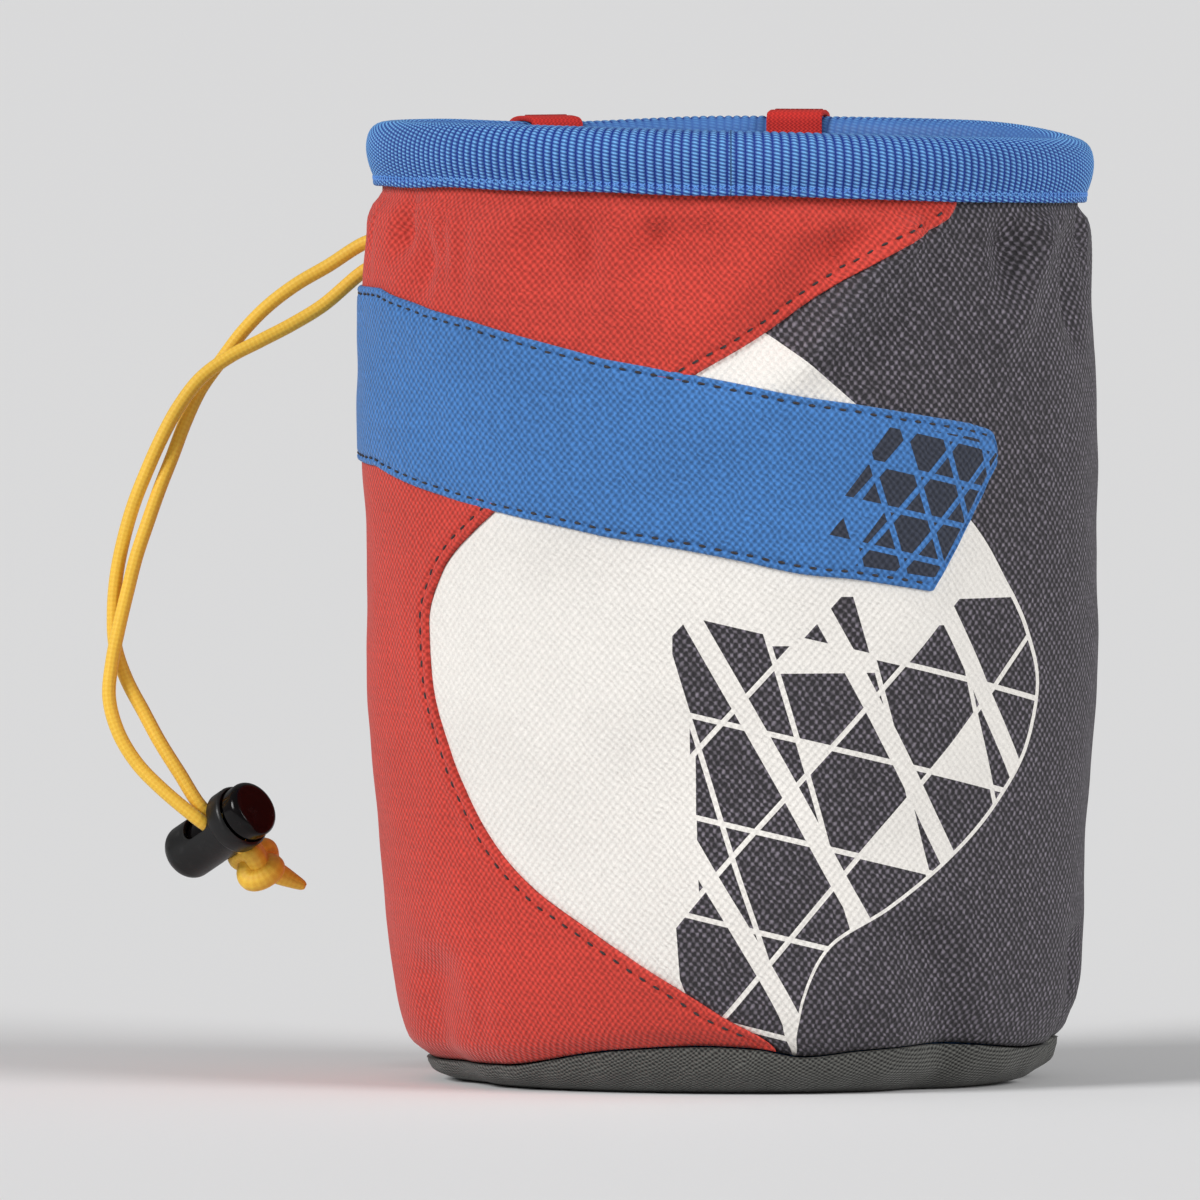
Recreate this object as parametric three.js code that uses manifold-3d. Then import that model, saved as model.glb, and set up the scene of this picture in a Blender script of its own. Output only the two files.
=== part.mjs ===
// Climbing chalk bag: an oval cloth tube on a dished bottom, with a taped rim, a lining,
// a sewn band, two belt loops and a closing cord that ends in a cord lock and a knot.
// Millimetres, +Z up, front towards -Y. The origin is the middle of the flat underside.
import * as THREE from "three";
import { mergeVertices } from "three/addons/utils/BufferGeometryUtils.js";
import Module from "manifold-3d";

const wasm = await Module();
wasm.setup();

// Sizes of the bag
const bagWidth = 125;
const bagDepth = 104;
const rimHeight = 162;
const seamHeight = 8.4;
const foldDepth = 2.4;
const gatherDepth = 0.35;
const gatherCount = 44;

// Cloth, tape and cord
const clothThickness = 1.5;
const liningThickness = 1;
const bandThickness = 0.6;
const webbingThickness = 0.9;
const webbingWidth = 9.6;
const cordDiameter = 2.4;
const clearance = 0.3;
const seamGap = 0.6;
const bandLift = 0.4;
const liningLooseness = 2.4;
const liningFloorLift = 2.4;

// Rim tape: an upside-down U over the tops of the wall and the lining
const tapeDrop = 10.6;
const tapeInnerDrop = 8.5;
const tapeBulge = 2.5;
const tapeThickness = 1.3;
const tapeCrown = 2;
const liningSlack = 0.7;

// Belt loops down the back
const loopLength = 52;
const loopInnerDrop = 9;
const loopSlack = 0.5;
const loopShoulder = 2;
const loopCorner = 0.4;
const beltGap = 8;
const loopAngles = { left: -147, right: 168 };

// Cord lock
const barrelRadius = 4.75;
const barrelLength = 14.9;
const barrelNose = 3.4;
const flangeRadius = 5.4;
const flangeFoot = -0.4;
const flangeEdge = 0.4;
const mouthHeight = 2.8;
const headRadius = 4.45;
const headFoot = 2.95;
const headEdge = 1.4;
const buttonRadius = 3.75;
const buttonHeight = 6.4;
const plungerDepth = 9.2;
const buttonTravel = 3;
const boreFloor = 2.2;
const lockFit = 0.3;
const strandDrop = 2.6;
const strandSpacing = 2.75;
const slotRoom = 3.65;
const slotTurn = 30;

// Knot
const knotRadius = 4.8;
const knotReach = 8.8;
const knotAside = -0.9;
const knotDrop = 3.8;
const knotSwell = 0.05;
const tailRootRadius = 3.4;
const tailTipRadius = 0.8;

// How finely the cloth is divided
const columnStep = 6;
const columnsRound = 360 / columnStep;
const liningColumns = 30;
const bandRows = 4;
const cordSides = 8;
const cordSteps = 26;
const lockSides = 20;
const holeSides = 12;
const tailSides = 10;

// Where the cloth panels meet at the back left, in degrees round the bag from its front
const backSeamAngle = -132;

// Rises between which the cloth is gathered under the tape
const gatherTop = 0.945;
const gatherBottom = 0.82;

// Wall sections: half sizes to each side, as shares of half the width and half the depth
const wallSections = [
  { rise: 0.0, left: 0.824, right: 0.907, front: 0.9, back: 0.89 },
  { rise: 0.02, left: 0.862, right: 0.92, front: 0.93, back: 0.915 },
  { rise: 0.045, left: 0.882, right: 0.945, front: 0.955, back: 0.935 },
  { rise: 0.075, left: 0.899, right: 0.957, front: 0.972, back: 0.95 },
  { rise: 0.13, left: 0.92, right: 0.964, front: 0.985, back: 0.965 },
  { rise: 0.2, left: 0.942, right: 0.969, front: 0.995, back: 0.975 },
  { rise: 0.32, left: 0.963, right: 0.985, front: 1.0, back: 0.985 },
  { rise: 0.45, left: 0.978, right: 0.998, front: 1.0, back: 0.99 },
  { rise: 0.57, left: 0.983, right: 1.002, front: 1.0, back: 0.99 },
  { rise: 0.68, left: 0.986, right: 1.001, front: 1.0, back: 0.99 },
  { rise: 0.78, left: 0.984, right: 0.994, front: 0.995, back: 0.985 },
  { rise: 0.86, left: 0.983, right: 0.988, front: 0.988, back: 0.98 },
  { rise: 0.905, left: 0.98, right: 0.98, front: 0.98, back: 0.972 },
  { rise: 0.925, left: 0.962, right: 0.968, front: 0.965, back: 0.958 },
  { rise: 0.94, left: 0.936, right: 0.944, front: 0.945, back: 0.94 },
  { rise: 1.0, left: 0.932, right: 0.94, front: 0.94, back: 0.935 },
];

// Height of the rim round the bag, as a share of the rim height
const rimLine = [
  { angle: -180, height: 0.9975 },
  { angle: -150, height: 0.992 },
  { angle: -120, height: 0.9975 },
  { angle: -90, height: 0.9988 },
  { angle: -45, height: 1.0006 },
  { angle: 0, height: 0.9957 },
  { angle: 45, height: 0.987 },
  { angle: 90, height: 0.981 },
  { angle: 135, height: 0.995 },
  { angle: 180, height: 0.9975 },
];

// Height of the bottom seam round the bag, as a share of the seam height
const seamLine = [
  { angle: -180, height: 0.88 },
  { angle: -135, height: 0.71 },
  { angle: -90, height: 0.49 },
  { angle: -50, height: 0.52 },
  { angle: -24, height: 0.9 },
  { angle: -8, height: 1.0 },
  { angle: 2, height: 0.95 },
  { angle: 11, height: 0.79 },
  { angle: 22, height: 0.9 },
  { angle: 40, height: 0.98 },
  { angle: 65, height: 0.81 },
  { angle: 90, height: 0.86 },
  { angle: 135, height: 0.83 },
  { angle: 180, height: 0.88 },
];

// Creases: place and half width in degrees, lean in degrees per unit of rise, span of rise,
// and depth as a share of the fold depth (a negative depth is a ridge)
const folds = [
  { angle: -31, width: 4.5, lean: 10, top: 0.945, bottom: 0.78, depth: 0.5 },
  { angle: -22, width: 4, lean: -30, top: 0.945, bottom: 0.82, depth: 0.4 },
  { angle: -8, width: 4.5, lean: 20, top: 0.945, bottom: 0.78, depth: 0.55 },
  { angle: 0, width: 4.5, lean: 0, top: 0.945, bottom: 0.8, depth: 0.4 },
  { angle: 22, width: 7, lean: -120, top: 0.93, bottom: 0.7, depth: 0.75 },
  { angle: 33, width: 4.5, lean: -120, top: 0.94, bottom: 0.7, depth: -0.6 },
  { angle: 42, width: 4, lean: -20, top: 0.945, bottom: 0.86, depth: 0.6 },
  { angle: 52, width: 5, lean: -15, top: 0.945, bottom: 0.8, depth: 0.9 },
  { angle: 63, width: 4.5, lean: -90, top: 0.945, bottom: 0.74, depth: -0.45 },
  { angle: 77, width: 6, lean: -40, top: 0.945, bottom: 0.76, depth: 0.7 },
  { angle: -62, width: 6, lean: 20, top: 0.945, bottom: 0.78, depth: 0.4 },
  { angle: 112, width: 8, lean: 30, top: 0.945, bottom: 0.7, depth: 0.6 },
  { angle: -172, width: 7, lean: -30, top: 0.945, bottom: 0.72, depth: 0.5 },
  { angle: -128, width: 7, lean: 30, top: 0.945, bottom: 0.75, depth: 0.5 },
  { angle: 30, width: 7, lean: 60, top: 0.16, bottom: 0.0, depth: 0.6 },
  { angle: -60, width: 8, lean: -60, top: 0.14, bottom: 0.0, depth: 0.5 },
  { angle: 78, width: 6, lean: 40, top: 0.15, bottom: 0.0, depth: 0.7 },
  { angle: 150, width: 9, lean: -40, top: 0.16, bottom: 0.0, depth: 0.5 },
];

// Heights at which the wall cloth is divided
const wallRises = [
  0.0, 0.018, 0.045, 0.09, 0.14, 0.19, 0.25, 0.33, 0.41, 0.475, 0.535, 0.6, 0.675, 0.745, 0.81,
  0.862, 0.905, 0.925, 0.942, 1.0,
];

// Front edge of the red panel
const redEdge = [
  { rise: 0.0, angle: 5.5 },
  { rise: 0.038, angle: -4.3 },
  { rise: 0.083, angle: -14.6 },
  { rise: 0.133, angle: -24.8 },
  { rise: 0.183, angle: -34.3 },
  { rise: 0.242, angle: -42.3 },
  { rise: 0.33, angle: -50.2 },
  { rise: 0.421, angle: -55.3 },
  { rise: 0.476, angle: -55.9 },
  { rise: 0.534, angle: -51.9 },
  { rise: 0.598, angle: -40.0 },
  { rise: 0.678, angle: -20.3 },
  { rise: 0.747, angle: -5.6 },
  { rise: 0.787, angle: 3.9 },
  { rise: 0.837, angle: 13.9 },
  { rise: 0.888, angle: 26.4 },
  { rise: 0.942, angle: 40.0 },
  { rise: 1.0, angle: 41.5 },
];

// Lower and upper edge of the band, from the back seam to its slanted right end
const bandEdges = [
  { angle: -131.4, low: 0.65, high: 0.838 },
  { angle: -90, low: 0.648, high: 0.838 },
  { angle: -73, low: 0.644, high: 0.837 },
  { angle: -45, low: 0.606, high: 0.805 },
  { angle: -20, low: 0.566, high: 0.762 },
  { angle: 5, low: 0.537, high: 0.733 },
  { angle: 18, low: 0.526, high: 0.72 },
  { angle: 32.3, low: 0.509, high: 0.704 },
  { angle: 39.3, low: 0.586, high: 0.697 },
  { angle: 44.2, low: 0.638, high: 0.689 },
  { angle: 45.5, low: 0.652, high: 0.668 },
];

// Bottom dish: reach from its middle, lift towards the seam, and how upright the cloth stands
const dishRows = [
  { reach: 1.0, lift: 1.0, upright: 1.0 },
  { reach: 0.965, lift: 0.5, upright: 0.8 },
  { reach: 0.905, lift: 0.14, upright: 0.4 },
  { reach: 0.815, lift: 0.0, upright: 0.0 },
  { reach: 0.0, lift: 0.0, upright: 0.0 },
];

// Lining, from its top edge down: rise on the wall and share of its looseness
const liningRows = [
  { rise: 1.0, loose: 0 },
  { rise: 0.945, loose: 0 },
  { rise: 0.89, loose: 1 },
  { rise: 0.75, loose: 1 },
  { rise: 0.5, loose: 1 },
  { rise: 0.1, loose: 1 },
  { rise: 0.045, loose: 1 },
];

// Floor of the lining: reach from its middle and lift towards the bottom of its side
const liningFloor = [
  { reach: 0.94, lift: 0.55 },
  { reach: 0.8, lift: 0.15 },
  { reach: 0.0, lift: 0.0 },
];

// Outer leg of a belt loop: drop and stand-off, as shares of the loop length and the belt gap
const loopRows = [
  { drop: 0.03, gap: 0 },
  { drop: 0.14, gap: 0 },
  { drop: 0.23, gap: 0.2 },
  { drop: 0.32, gap: 0.72 },
  { drop: 0.42, gap: 0.97 },
  { drop: 0.58, gap: 1 },
  { drop: 0.7, gap: 0.85 },
  { drop: 0.79, gap: 0.4 },
  { drop: 0.86, gap: 0.06 },
  { drop: 0.92, gap: 0 },
  { drop: 1.0, gap: 0 },
];

// Chosen points of the two cord strands, from the inside of the wall to the lock
const cordRoutes = {
  upper: [
    [-58.1, 13.4, 142.1],
    [-61.8, 14.6, 140.9],
    [-67.8, 15.8, 137.1],
    [-73.1, 16.1, 134.0],
    [-78.0, 16.5, 130.3],
    [-82.2, 16.5, 126.0],
    [-85.9, 16.1, 121.1],
    [-89.4, 15.0, 116.2],
    [-92.0, 13.9, 110.7],
    [-94.1, 12.5, 105.1],
    [-96.3, 10.8, 99.5],
    [-98.3, 9.1, 93.8],
    [-100.2, 8.0, 88.1],
    [-101.7, 7.4, 82.2],
    [-103.1, 6.9, 76.3],
    [-104.3, 6.4, 70.3],
    [-104.8, 5.8, 64.3],
    [-103.3, 4.9, 58.6],
    [-100.2, 3.8, 53.4],
    [-96.0, 2.3, 49.1],
  ],
  lower: [
    [-58.1, 13.0, 138.2],
    [-61.8, 13.5, 136.2],
    [-68.6, 13.4, 130.5],
    [-73.8, 13.1, 127.3],
    [-79.2, 12.8, 124.5],
    [-84.6, 12.5, 121.7],
    [-89.4, 12.1, 118.1],
    [-93.1, 11.5, 113.3],
    [-96.0, 10.9, 108.0],
    [-98.5, 10.6, 102.4],
    [-100.7, 10.4, 96.8],
    [-102.4, 10.2, 90.9],
    [-103.6, 10.1, 84.9],
    [-104.1, 9.9, 78.9],
    [-103.8, 9.6, 72.8],
    [-101.9, 8.6, 67.2],
    [-99.0, 7.3, 61.8],
    [-96.3, 5.6, 56.9],
    [-92.9, 3.9, 51.6],
  ],
};

// The cord lock's mouth ring, and its axis from the closed end to the button
const lockPlace = new THREE.Vector3(-83.85, 2, 43.35);
const lockAxis = new THREE.Vector3(0.639, -0.616, 0.461).normalize();
const tailEnd = new THREE.Vector3(-71.6, 7.5, 32.1);

const colours = {
  charcoal: 0x434046,
  red: 0xd34b41,
  blue: 0x447dc3,
  tape: 0x416eb9,
  lining: 0x417dc3,
  base: 0x424240,
  webbing: 0xcd3c32,
  cord: 0xf0b93c,
  barrel: 0x2d2d2d,
  button: 0x141214,
};

function lerp(from, to, share) {
  return from + (to - from) * share;
}

function smoothStep(value) {
  const share = Math.min(Math.max(value, 0), 1);
  return share * share * (3 - 2 * share);
}

// Smooth curve through a table's rows that never swings past them
function readTable(rows, place, column, at) {
  const last = rows.length - 1;
  const value = Math.min(Math.max(at, rows[0][place]), rows[last][place]);
  const run = (k) => rows[k + 1][place] - rows[k][place];
  const slope = (k) => (rows[k + 1][column] - rows[k][column]) / run(k);
  const tangent = (k) => {
    if (k === 0 || k === last) return 0;
    const before = slope(k - 1);
    const after = slope(k);
    if (before * after <= 0) return 0;
    const early = 2 * run(k) + run(k - 1);
    const late = run(k) + 2 * run(k - 1);
    return (early + late) / (early / before + late / after);
  };
  let k = 0;
  while (k < last - 1 && value > rows[k + 1][place]) k += 1;
  const t = (value - rows[k][place]) / run(k);
  const square = t * t;
  const cube = square * t;
  return (
    (2 * cube - 3 * square + 1) * rows[k][column] +
    (cube - 2 * square + t) * run(k) * tangent(k) +
    (3 * square - 2 * cube) * rows[k + 1][column] +
    (cube - square) * run(k) * tangent(k + 1)
  );
}

// Straight lines between a table's rows
function readStraight(rows, place, column, at) {
  const last = rows.length - 1;
  const value = Math.min(Math.max(at, rows[0][place]), rows[last][place]);
  let k = 0;
  while (k < last - 1 && value > rows[k + 1][place]) k += 1;
  const t = (value - rows[k][place]) / (rows[k + 1][place] - rows[k][place]);
  return lerp(rows[k][column], rows[k + 1][column], t);
}

function wrapAngle(angle) {
  return ((((angle + 180) % 360) + 360) % 360) - 180;
}

function rimAt(angle) {
  return rimHeight * readTable(rimLine, "angle", "height", wrapAngle(angle));
}

function seamAt(angle) {
  return seamHeight * readTable(seamLine, "angle", "height", wrapAngle(angle));
}

function wallTopAt(angle) {
  return rimAt(angle) - tapeCrown - clearance;
}

function riseAt(angle, height) {
  const share = (height - seamAt(angle)) / (wallTopAt(angle) - seamAt(angle));
  return Math.min(Math.max(share, 0), 1);
}

// How far the creases and the gathers under the tape pull the cloth in
function foldAt(angle, rise) {
  let depth = 0;
  for (const fold of folds) {
    const middle = fold.angle + fold.lean * (fold.top - rise);
    const aside = wrapAngle(angle - middle) / fold.width;
    const fromTop = smoothStep((fold.top - rise) / 0.05);
    const fromBottom = fold.bottom > 0 ? smoothStep((rise - fold.bottom) / 0.1) : 1;
    depth += foldDepth * fold.depth * Math.exp(-aside * aside) * fromTop * fromBottom;
  }
  const gathered =
    smoothStep((gatherTop - rise) / 0.02) * smoothStep((rise - gatherBottom) / 0.12);
  const wave = Math.cos(THREE.MathUtils.degToRad(angle * gatherCount));
  return depth + gatherDepth * gathered * wave;
}

function smoothWallPoint(angle, rise) {
  const turn = THREE.MathUtils.degToRad(angle);
  const [left, right, front, back] = ["left", "right", "front", "back"].map((side) =>
    readTable(wallSections, "rise", side, rise)
  );
  return new THREE.Vector3(
    (bagWidth / 2) * ((right - left) / 2 + ((right + left) / 2) * Math.sin(turn)),
    (-bagDepth / 2) * ((front - back) / 2 + ((front + back) / 2) * Math.cos(turn)),
    lerp(seamAt(angle), wallTopAt(angle), rise)
  );
}

function outwardAt(angle, rise) {
  const step = 0.5;
  const along = smoothWallPoint(angle + step, rise).sub(smoothWallPoint(angle - step, rise));
  return new THREE.Vector3(along.y, -along.x, 0).normalize();
}

// A point on the cloth wall; offset is measured outwards from the wall's outer face
function wallPoint(angle, rise, offset, folded = true) {
  const depth = folded ? foldAt(angle, rise) : 0;
  return smoothWallPoint(angle, rise).addScaledVector(outwardAt(angle, rise), offset - depth);
}

// Joins points into triangles and leaves out those that have shrunk to a line
function solidFromQuads(quads) {
  const positions = [];
  const addTriangle = (a, b, c) => {
    const tiny = 1e-5;
    if (a.distanceTo(b) < tiny || b.distanceTo(c) < tiny || c.distanceTo(a) < tiny) return;
    positions.push(...a.toArray(), ...b.toArray(), ...c.toArray());
  };
  for (const [a, b, c, d] of quads) {
    addTriangle(a, b, c);
    addTriangle(a, c, d);
  }
  let volume = 0;
  const corner = [new THREE.Vector3(), new THREE.Vector3(), new THREE.Vector3()];
  for (let k = 0; k < positions.length; k += 9) {
    corner.forEach((point, n) => point.fromArray(positions, k + 3 * n));
    volume += corner[0].dot(corner[1].clone().cross(corner[2]));
  }
  if (volume < 0) {
    for (let k = 0; k < positions.length; k += 9) {
      for (let n = 0; n < 3; n += 1) {
        [positions[k + n], positions[k + 3 + n]] = [positions[k + 3 + n], positions[k + n]];
      }
    }
  }
  const geometry = new THREE.BufferGeometry();
  geometry.setAttribute("position", new THREE.Float32BufferAttribute(positions, 3));
  return mergeVertices(geometry, 1e-4);
}

// A sheet with two faces and closed edges; place(face, column, row) gives each point.
// A round sheet closes on itself. Columns that share a point in a row melt together there.
function sheetSolid(columnCount, rowCount, round, place) {
  const grid = [0, 1].map((face) => {
    const columns = [];
    for (let c = 0; c < columnCount; c += 1) {
      columns.push(Array.from({ length: rowCount }, (unused, r) => place(face, c, r)));
    }
    return columns;
  });
  const quads = [];
  const spans = round ? columnCount : columnCount - 1;
  for (let c = 0; c < spans; c += 1) {
    const next = (c + 1) % columnCount;
    for (let r = 0; r + 1 < rowCount; r += 1) {
      const [front, back] = grid;
      quads.push([front[c][r], front[next][r], front[next][r + 1], front[c][r + 1]]);
      quads.push([back[c][r], back[c][r + 1], back[next][r + 1], back[next][r]]);
    }
    for (const [r, turned] of [[0, false], [rowCount - 1, true]]) {
      const edge = [grid[0][c][r], grid[1][c][r], grid[1][next][r], grid[0][next][r]];
      quads.push(turned ? edge.reverse() : edge);
    }
  }
  if (!round) {
    for (const [c, turned] of [[0, false], [columnCount - 1, true]]) {
      for (let r = 0; r + 1 < rowCount; r += 1) {
        const edge = [grid[0][c][r], grid[0][c][r + 1], grid[1][c][r + 1], grid[1][c][r]];
        quads.push(turned ? edge.reverse() : edge);
      }
    }
  }
  return solidFromQuads(quads);
}

// A closed outline carried once round the bag
function ringSolid(columnCount, outlineCount, place) {
  const quads = [];
  for (let c = 0; c < columnCount; c += 1) {
    for (let n = 0; n < outlineCount; n += 1) {
      const across = (n + 1) % outlineCount;
      const next = (c + 1) % columnCount;
      quads.push([place(c, n), place(next, n), place(next, across), place(c, across)]);
    }
  }
  return solidFromQuads(quads);
}

function toManifold(geometry) {
  const plain = geometry.clone();
  plain.deleteAttribute("normal");
  plain.deleteAttribute("uv");
  const merged = mergeVertices(plain, 1e-4);
  return new wasm.Manifold(
    new wasm.Mesh({
      numProp: 3,
      vertProperties: new Float32Array(merged.attributes.position.array),
      triVerts: new Uint32Array(merged.index.array),
    })
  );
}

function fromManifold(solid) {
  const { vertProperties, triVerts } = solid.getMesh();
  const geometry = new THREE.BufferGeometry();
  geometry.setAttribute("position", new THREE.BufferAttribute(vertProperties, 3));
  geometry.setIndex(new THREE.BufferAttribute(triVerts, 1));
  return geometry;
}

function placed(geometry, matrix) {
  return geometry.clone().applyMatrix4(matrix);
}

// A round bar from one point to another
function barBetween(from, to, startRadius, endRadius, sides) {
  const along = to.clone().sub(from);
  const bar = new THREE.CylinderGeometry(endRadius, startRadius, along.length(), sides, 1);
  const turn = new THREE.Quaternion().setFromUnitVectors(
    new THREE.Vector3(0, 1, 0),
    along.clone().normalize()
  );
  const middle = from.clone().add(to).multiplyScalar(0.5);
  return placed(bar, new THREE.Matrix4().compose(middle, turn, new THREE.Vector3(1, 1, 1)));
}

// Red panel from the back seam to its curved front edge, with the holes for the cord
function buildSidePanel() {
  const furthest = Math.max(...redEdge.map((row) => row.angle));
  const columns = Math.ceil((furthest - backSeamAngle) / columnStep) + 1;
  const sheet = sheetSolid(columns, wallRises.length, false, (face, column, row) => {
    const rise = wallRises[row];
    const edge = readTable(redEdge, "rise", "angle", rise) - seamGap / 2;
    const start = backSeamAngle + (column === 0 ? seamGap / 2 : 0);
    return wallPoint(Math.min(start + column * columnStep, edge), rise, -face * clothThickness);
  });
  let panel = toManifold(sheet);
  for (const route of Object.values(cordRoutes)) {
    const [inside, outside] = route.map((point) => new THREE.Vector3(...point));
    const along = outside.clone().sub(inside);
    const holeRadius = cordDiameter / 2 + lockFit;
    const start = inside.clone().addScaledVector(along, -1);
    const end = outside.clone().addScaledVector(along, 1);
    panel = panel.subtract(toManifold(barBetween(start, end, holeRadius, holeRadius, holeSides)));
  }
  return fromManifold(panel);
}

// Printed panel from the red panel's edge round the right side and the back
function buildBodyPanel() {
  const nearest = Math.min(...redEdge.map((row) => row.angle));
  const firstAngle = Math.floor(nearest / columnStep) * columnStep;
  const lastAngle = backSeamAngle + 360;
  const columns = (lastAngle - firstAngle) / columnStep + 1;
  return sheetSolid(columns, wallRises.length, false, (face, column, row) => {
    const rise = wallRises[row];
    const edge = readTable(redEdge, "rise", "angle", rise) + seamGap / 2;
    const end = lastAngle - seamGap / 2;
    const angle = Math.min(Math.max(firstAngle + column * columnStep, edge), end);
    return wallPoint(angle, rise, -face * clothThickness);
  });
}

// Band sewn over both panels, with a slanted end
function buildBand() {
  const angles = bandEdges.map((row) => row.angle);
  const end = Math.max(...angles);
  for (let angle = backSeamAngle + columnStep; angle < end; angle += columnStep) {
    const spare = columnStep / 3;
    if (angles.every((other) => Math.abs(other - angle) > spare)) angles.push(angle);
  }
  angles.sort((a, b) => a - b);
  return sheetSolid(angles.length, bandRows + 1, false, (face, column, row) => {
    const angle = angles[column];
    const low = readStraight(bandEdges, "angle", "low", angle);
    const high = readStraight(bandEdges, "angle", "high", angle);
    const offset = bandLift + (1 - face) * bandThickness;
    return wallPoint(angle, lerp(low, high, row / bandRows), offset);
  });
}

function buildBase() {
  return sheetSolid(columnsRound, dishRows.length, true, (face, column, row) => {
    const { reach, lift, upright } = dishRows[row];
    const angle = column * columnStep;
    const edge = wallPoint(angle, 0, 0);
    const top = edge.z - clearance;
    edge.z = 0;
    const inward = (face * upright * clothThickness) / edge.length();
    const rise = face * (1 - upright) * clothThickness;
    return new THREE.Vector3(
      edge.x * Math.max(reach - inward, 0),
      edge.y * Math.max(reach - inward, 0),
      lift * top + rise
    );
  });
}

function buildLining() {
  const rows = liningRows.length + liningFloor.length;
  const floorLevel = clothThickness + liningFloorLift;
  return sheetSolid(liningColumns, rows, true, (face, column, row) => {
    const angle = (column * 360) / liningColumns;
    const side = liningRows[Math.min(row, liningRows.length - 1)];
    const inset = clothThickness + clearance + side.loose * liningLooseness;
    const edge = wallPoint(angle, side.rise, -inset - face * liningThickness, false);
    if (row < liningRows.length) return edge;
    const { reach, lift } = liningFloor[row - liningRows.length];
    const level = floorLevel + face * liningThickness;
    return new THREE.Vector3(edge.x * reach, edge.y * reach, lerp(level, edge.z, lift));
  });
}

function buildRimBinding() {
  const outerFace = clearance + tapeThickness;
  const innerCavity = -(clothThickness + clearance + liningThickness + liningSlack);
  const innerFace = innerCavity - tapeThickness;
  const outline = [
    [outerFace, -tapeDrop],
    [outerFace + 0.1, -0.72 * tapeDrop],
    [tapeBulge, -0.55 * tapeDrop],
    [tapeBulge, -0.2 * tapeDrop],
    [tapeBulge / 2, -0.03 * tapeDrop],
    [innerCavity, 0],
    [innerFace, -0.12 * tapeInnerDrop],
    [innerFace, -tapeInnerDrop],
    [innerCavity, -tapeInnerDrop],
    [innerCavity, -tapeCrown],
    [clearance, -tapeCrown],
    [clearance, -tapeDrop],
  ];
  return ringSolid(columnsRound, outline.length, (column, n) => {
    const angle = column * columnStep;
    const [offset, drop] = outline[n];
    const height = rimAt(angle) + drop;
    const point = wallPoint(angle, riseAt(angle, height), offset, false);
    point.z = height;
    return point;
  });
}

// Webbing over the rim and down the back: its path lies in an upright plane, seen from the side
function buildBeltLoop(angle) {
  const rim = rimAt(angle);
  const origin = smoothWallPoint(angle, 1);
  const outward = outwardAt(angle, 1);
  const faceAt = (height) => {
    const under = rim - height < tapeDrop + clearance ? tapeBulge : 0;
    const wall = wallPoint(angle, riseAt(angle, height), 0).sub(origin);
    return Math.max(wall.x * outward.x + wall.y * outward.y, under);
  };
  const half = webbingThickness / 2;
  const innerFace =
    -(clothThickness + clearance + liningThickness + liningSlack + tapeThickness) - loopSlack;
  const top = rim + clearance + half;
  const path = [
    new THREE.Vector2(innerFace - half, rim - loopInnerDrop),
    new THREE.Vector2(innerFace - half, rim - loopShoulder),
    new THREE.Vector2(innerFace - half + loopCorner, top - half),
    new THREE.Vector2(innerFace + loopShoulder - loopCorner, top),
    new THREE.Vector2(loopCorner, top),
    new THREE.Vector2(tapeBulge + clearance, rim),
  ];
  for (const { drop, gap } of loopRows) {
    const height = rim - drop * loopLength;
    path.push(new THREE.Vector2(faceAt(height) + loopSlack + half + gap * beltGap, height));
  }
  const sides = [1, -1].map((side) =>
    path.map((point, k) => {
      const before = path[Math.max(k - 1, 0)];
      const after = path[Math.min(k + 1, path.length - 1)];
      const along = after.clone().sub(before).normalize();
      return new THREE.Vector2(-along.y, along.x).multiplyScalar(side * half).add(point);
    })
  );
  const shape = new THREE.Shape([...sides[0], ...sides[1].reverse()]);
  const strap = new THREE.ExtrudeGeometry(shape, {
    depth: webbingWidth,
    steps: 1,
    bevelEnabled: false,
  });
  strap.translate(0, 0, -webbingWidth / 2);
  const up = new THREE.Vector3(0, 0, 1);
  const matrix = new THREE.Matrix4().makeBasis(outward, up, outward.clone().cross(up));
  matrix.setPosition(origin.x, origin.y, 0);
  return placed(strap, matrix);
}

// Axes of the cord lock: strands run along x, lie side by side along y, the button moves on z
const lockMatrix = (() => {
  const strands = new THREE.Vector3(lockAxis.z, 0, -lockAxis.x).normalize();
  strands.applyAxisAngle(lockAxis, THREE.MathUtils.degToRad(slotTurn));
  const across = new THREE.Vector3().crossVectors(lockAxis, strands);
  const matrix = new THREE.Matrix4().makeBasis(strands, across, lockAxis);
  matrix.setPosition(lockPlace);
  return matrix;
})();

function lockPoint(along, across, height) {
  return new THREE.Vector3(along, across, height).applyMatrix4(lockMatrix);
}

function slotAcross(low, high) {
  const width = strandSpacing + cordDiameter + 2 * lockFit;
  const slot = new THREE.BoxGeometry(4 * barrelRadius, width, high - low);
  slot.translate(0, 0, (low + high) / 2);
  return toManifold(slot);
}

function latheOf(points) {
  const lathe = new THREE.LatheGeometry(
    points.map(([radius, height]) => new THREE.Vector2(radius, height)),
    lockSides
  );
  lathe.rotateX(Math.PI / 2);
  return toManifold(lathe);
}

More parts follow.
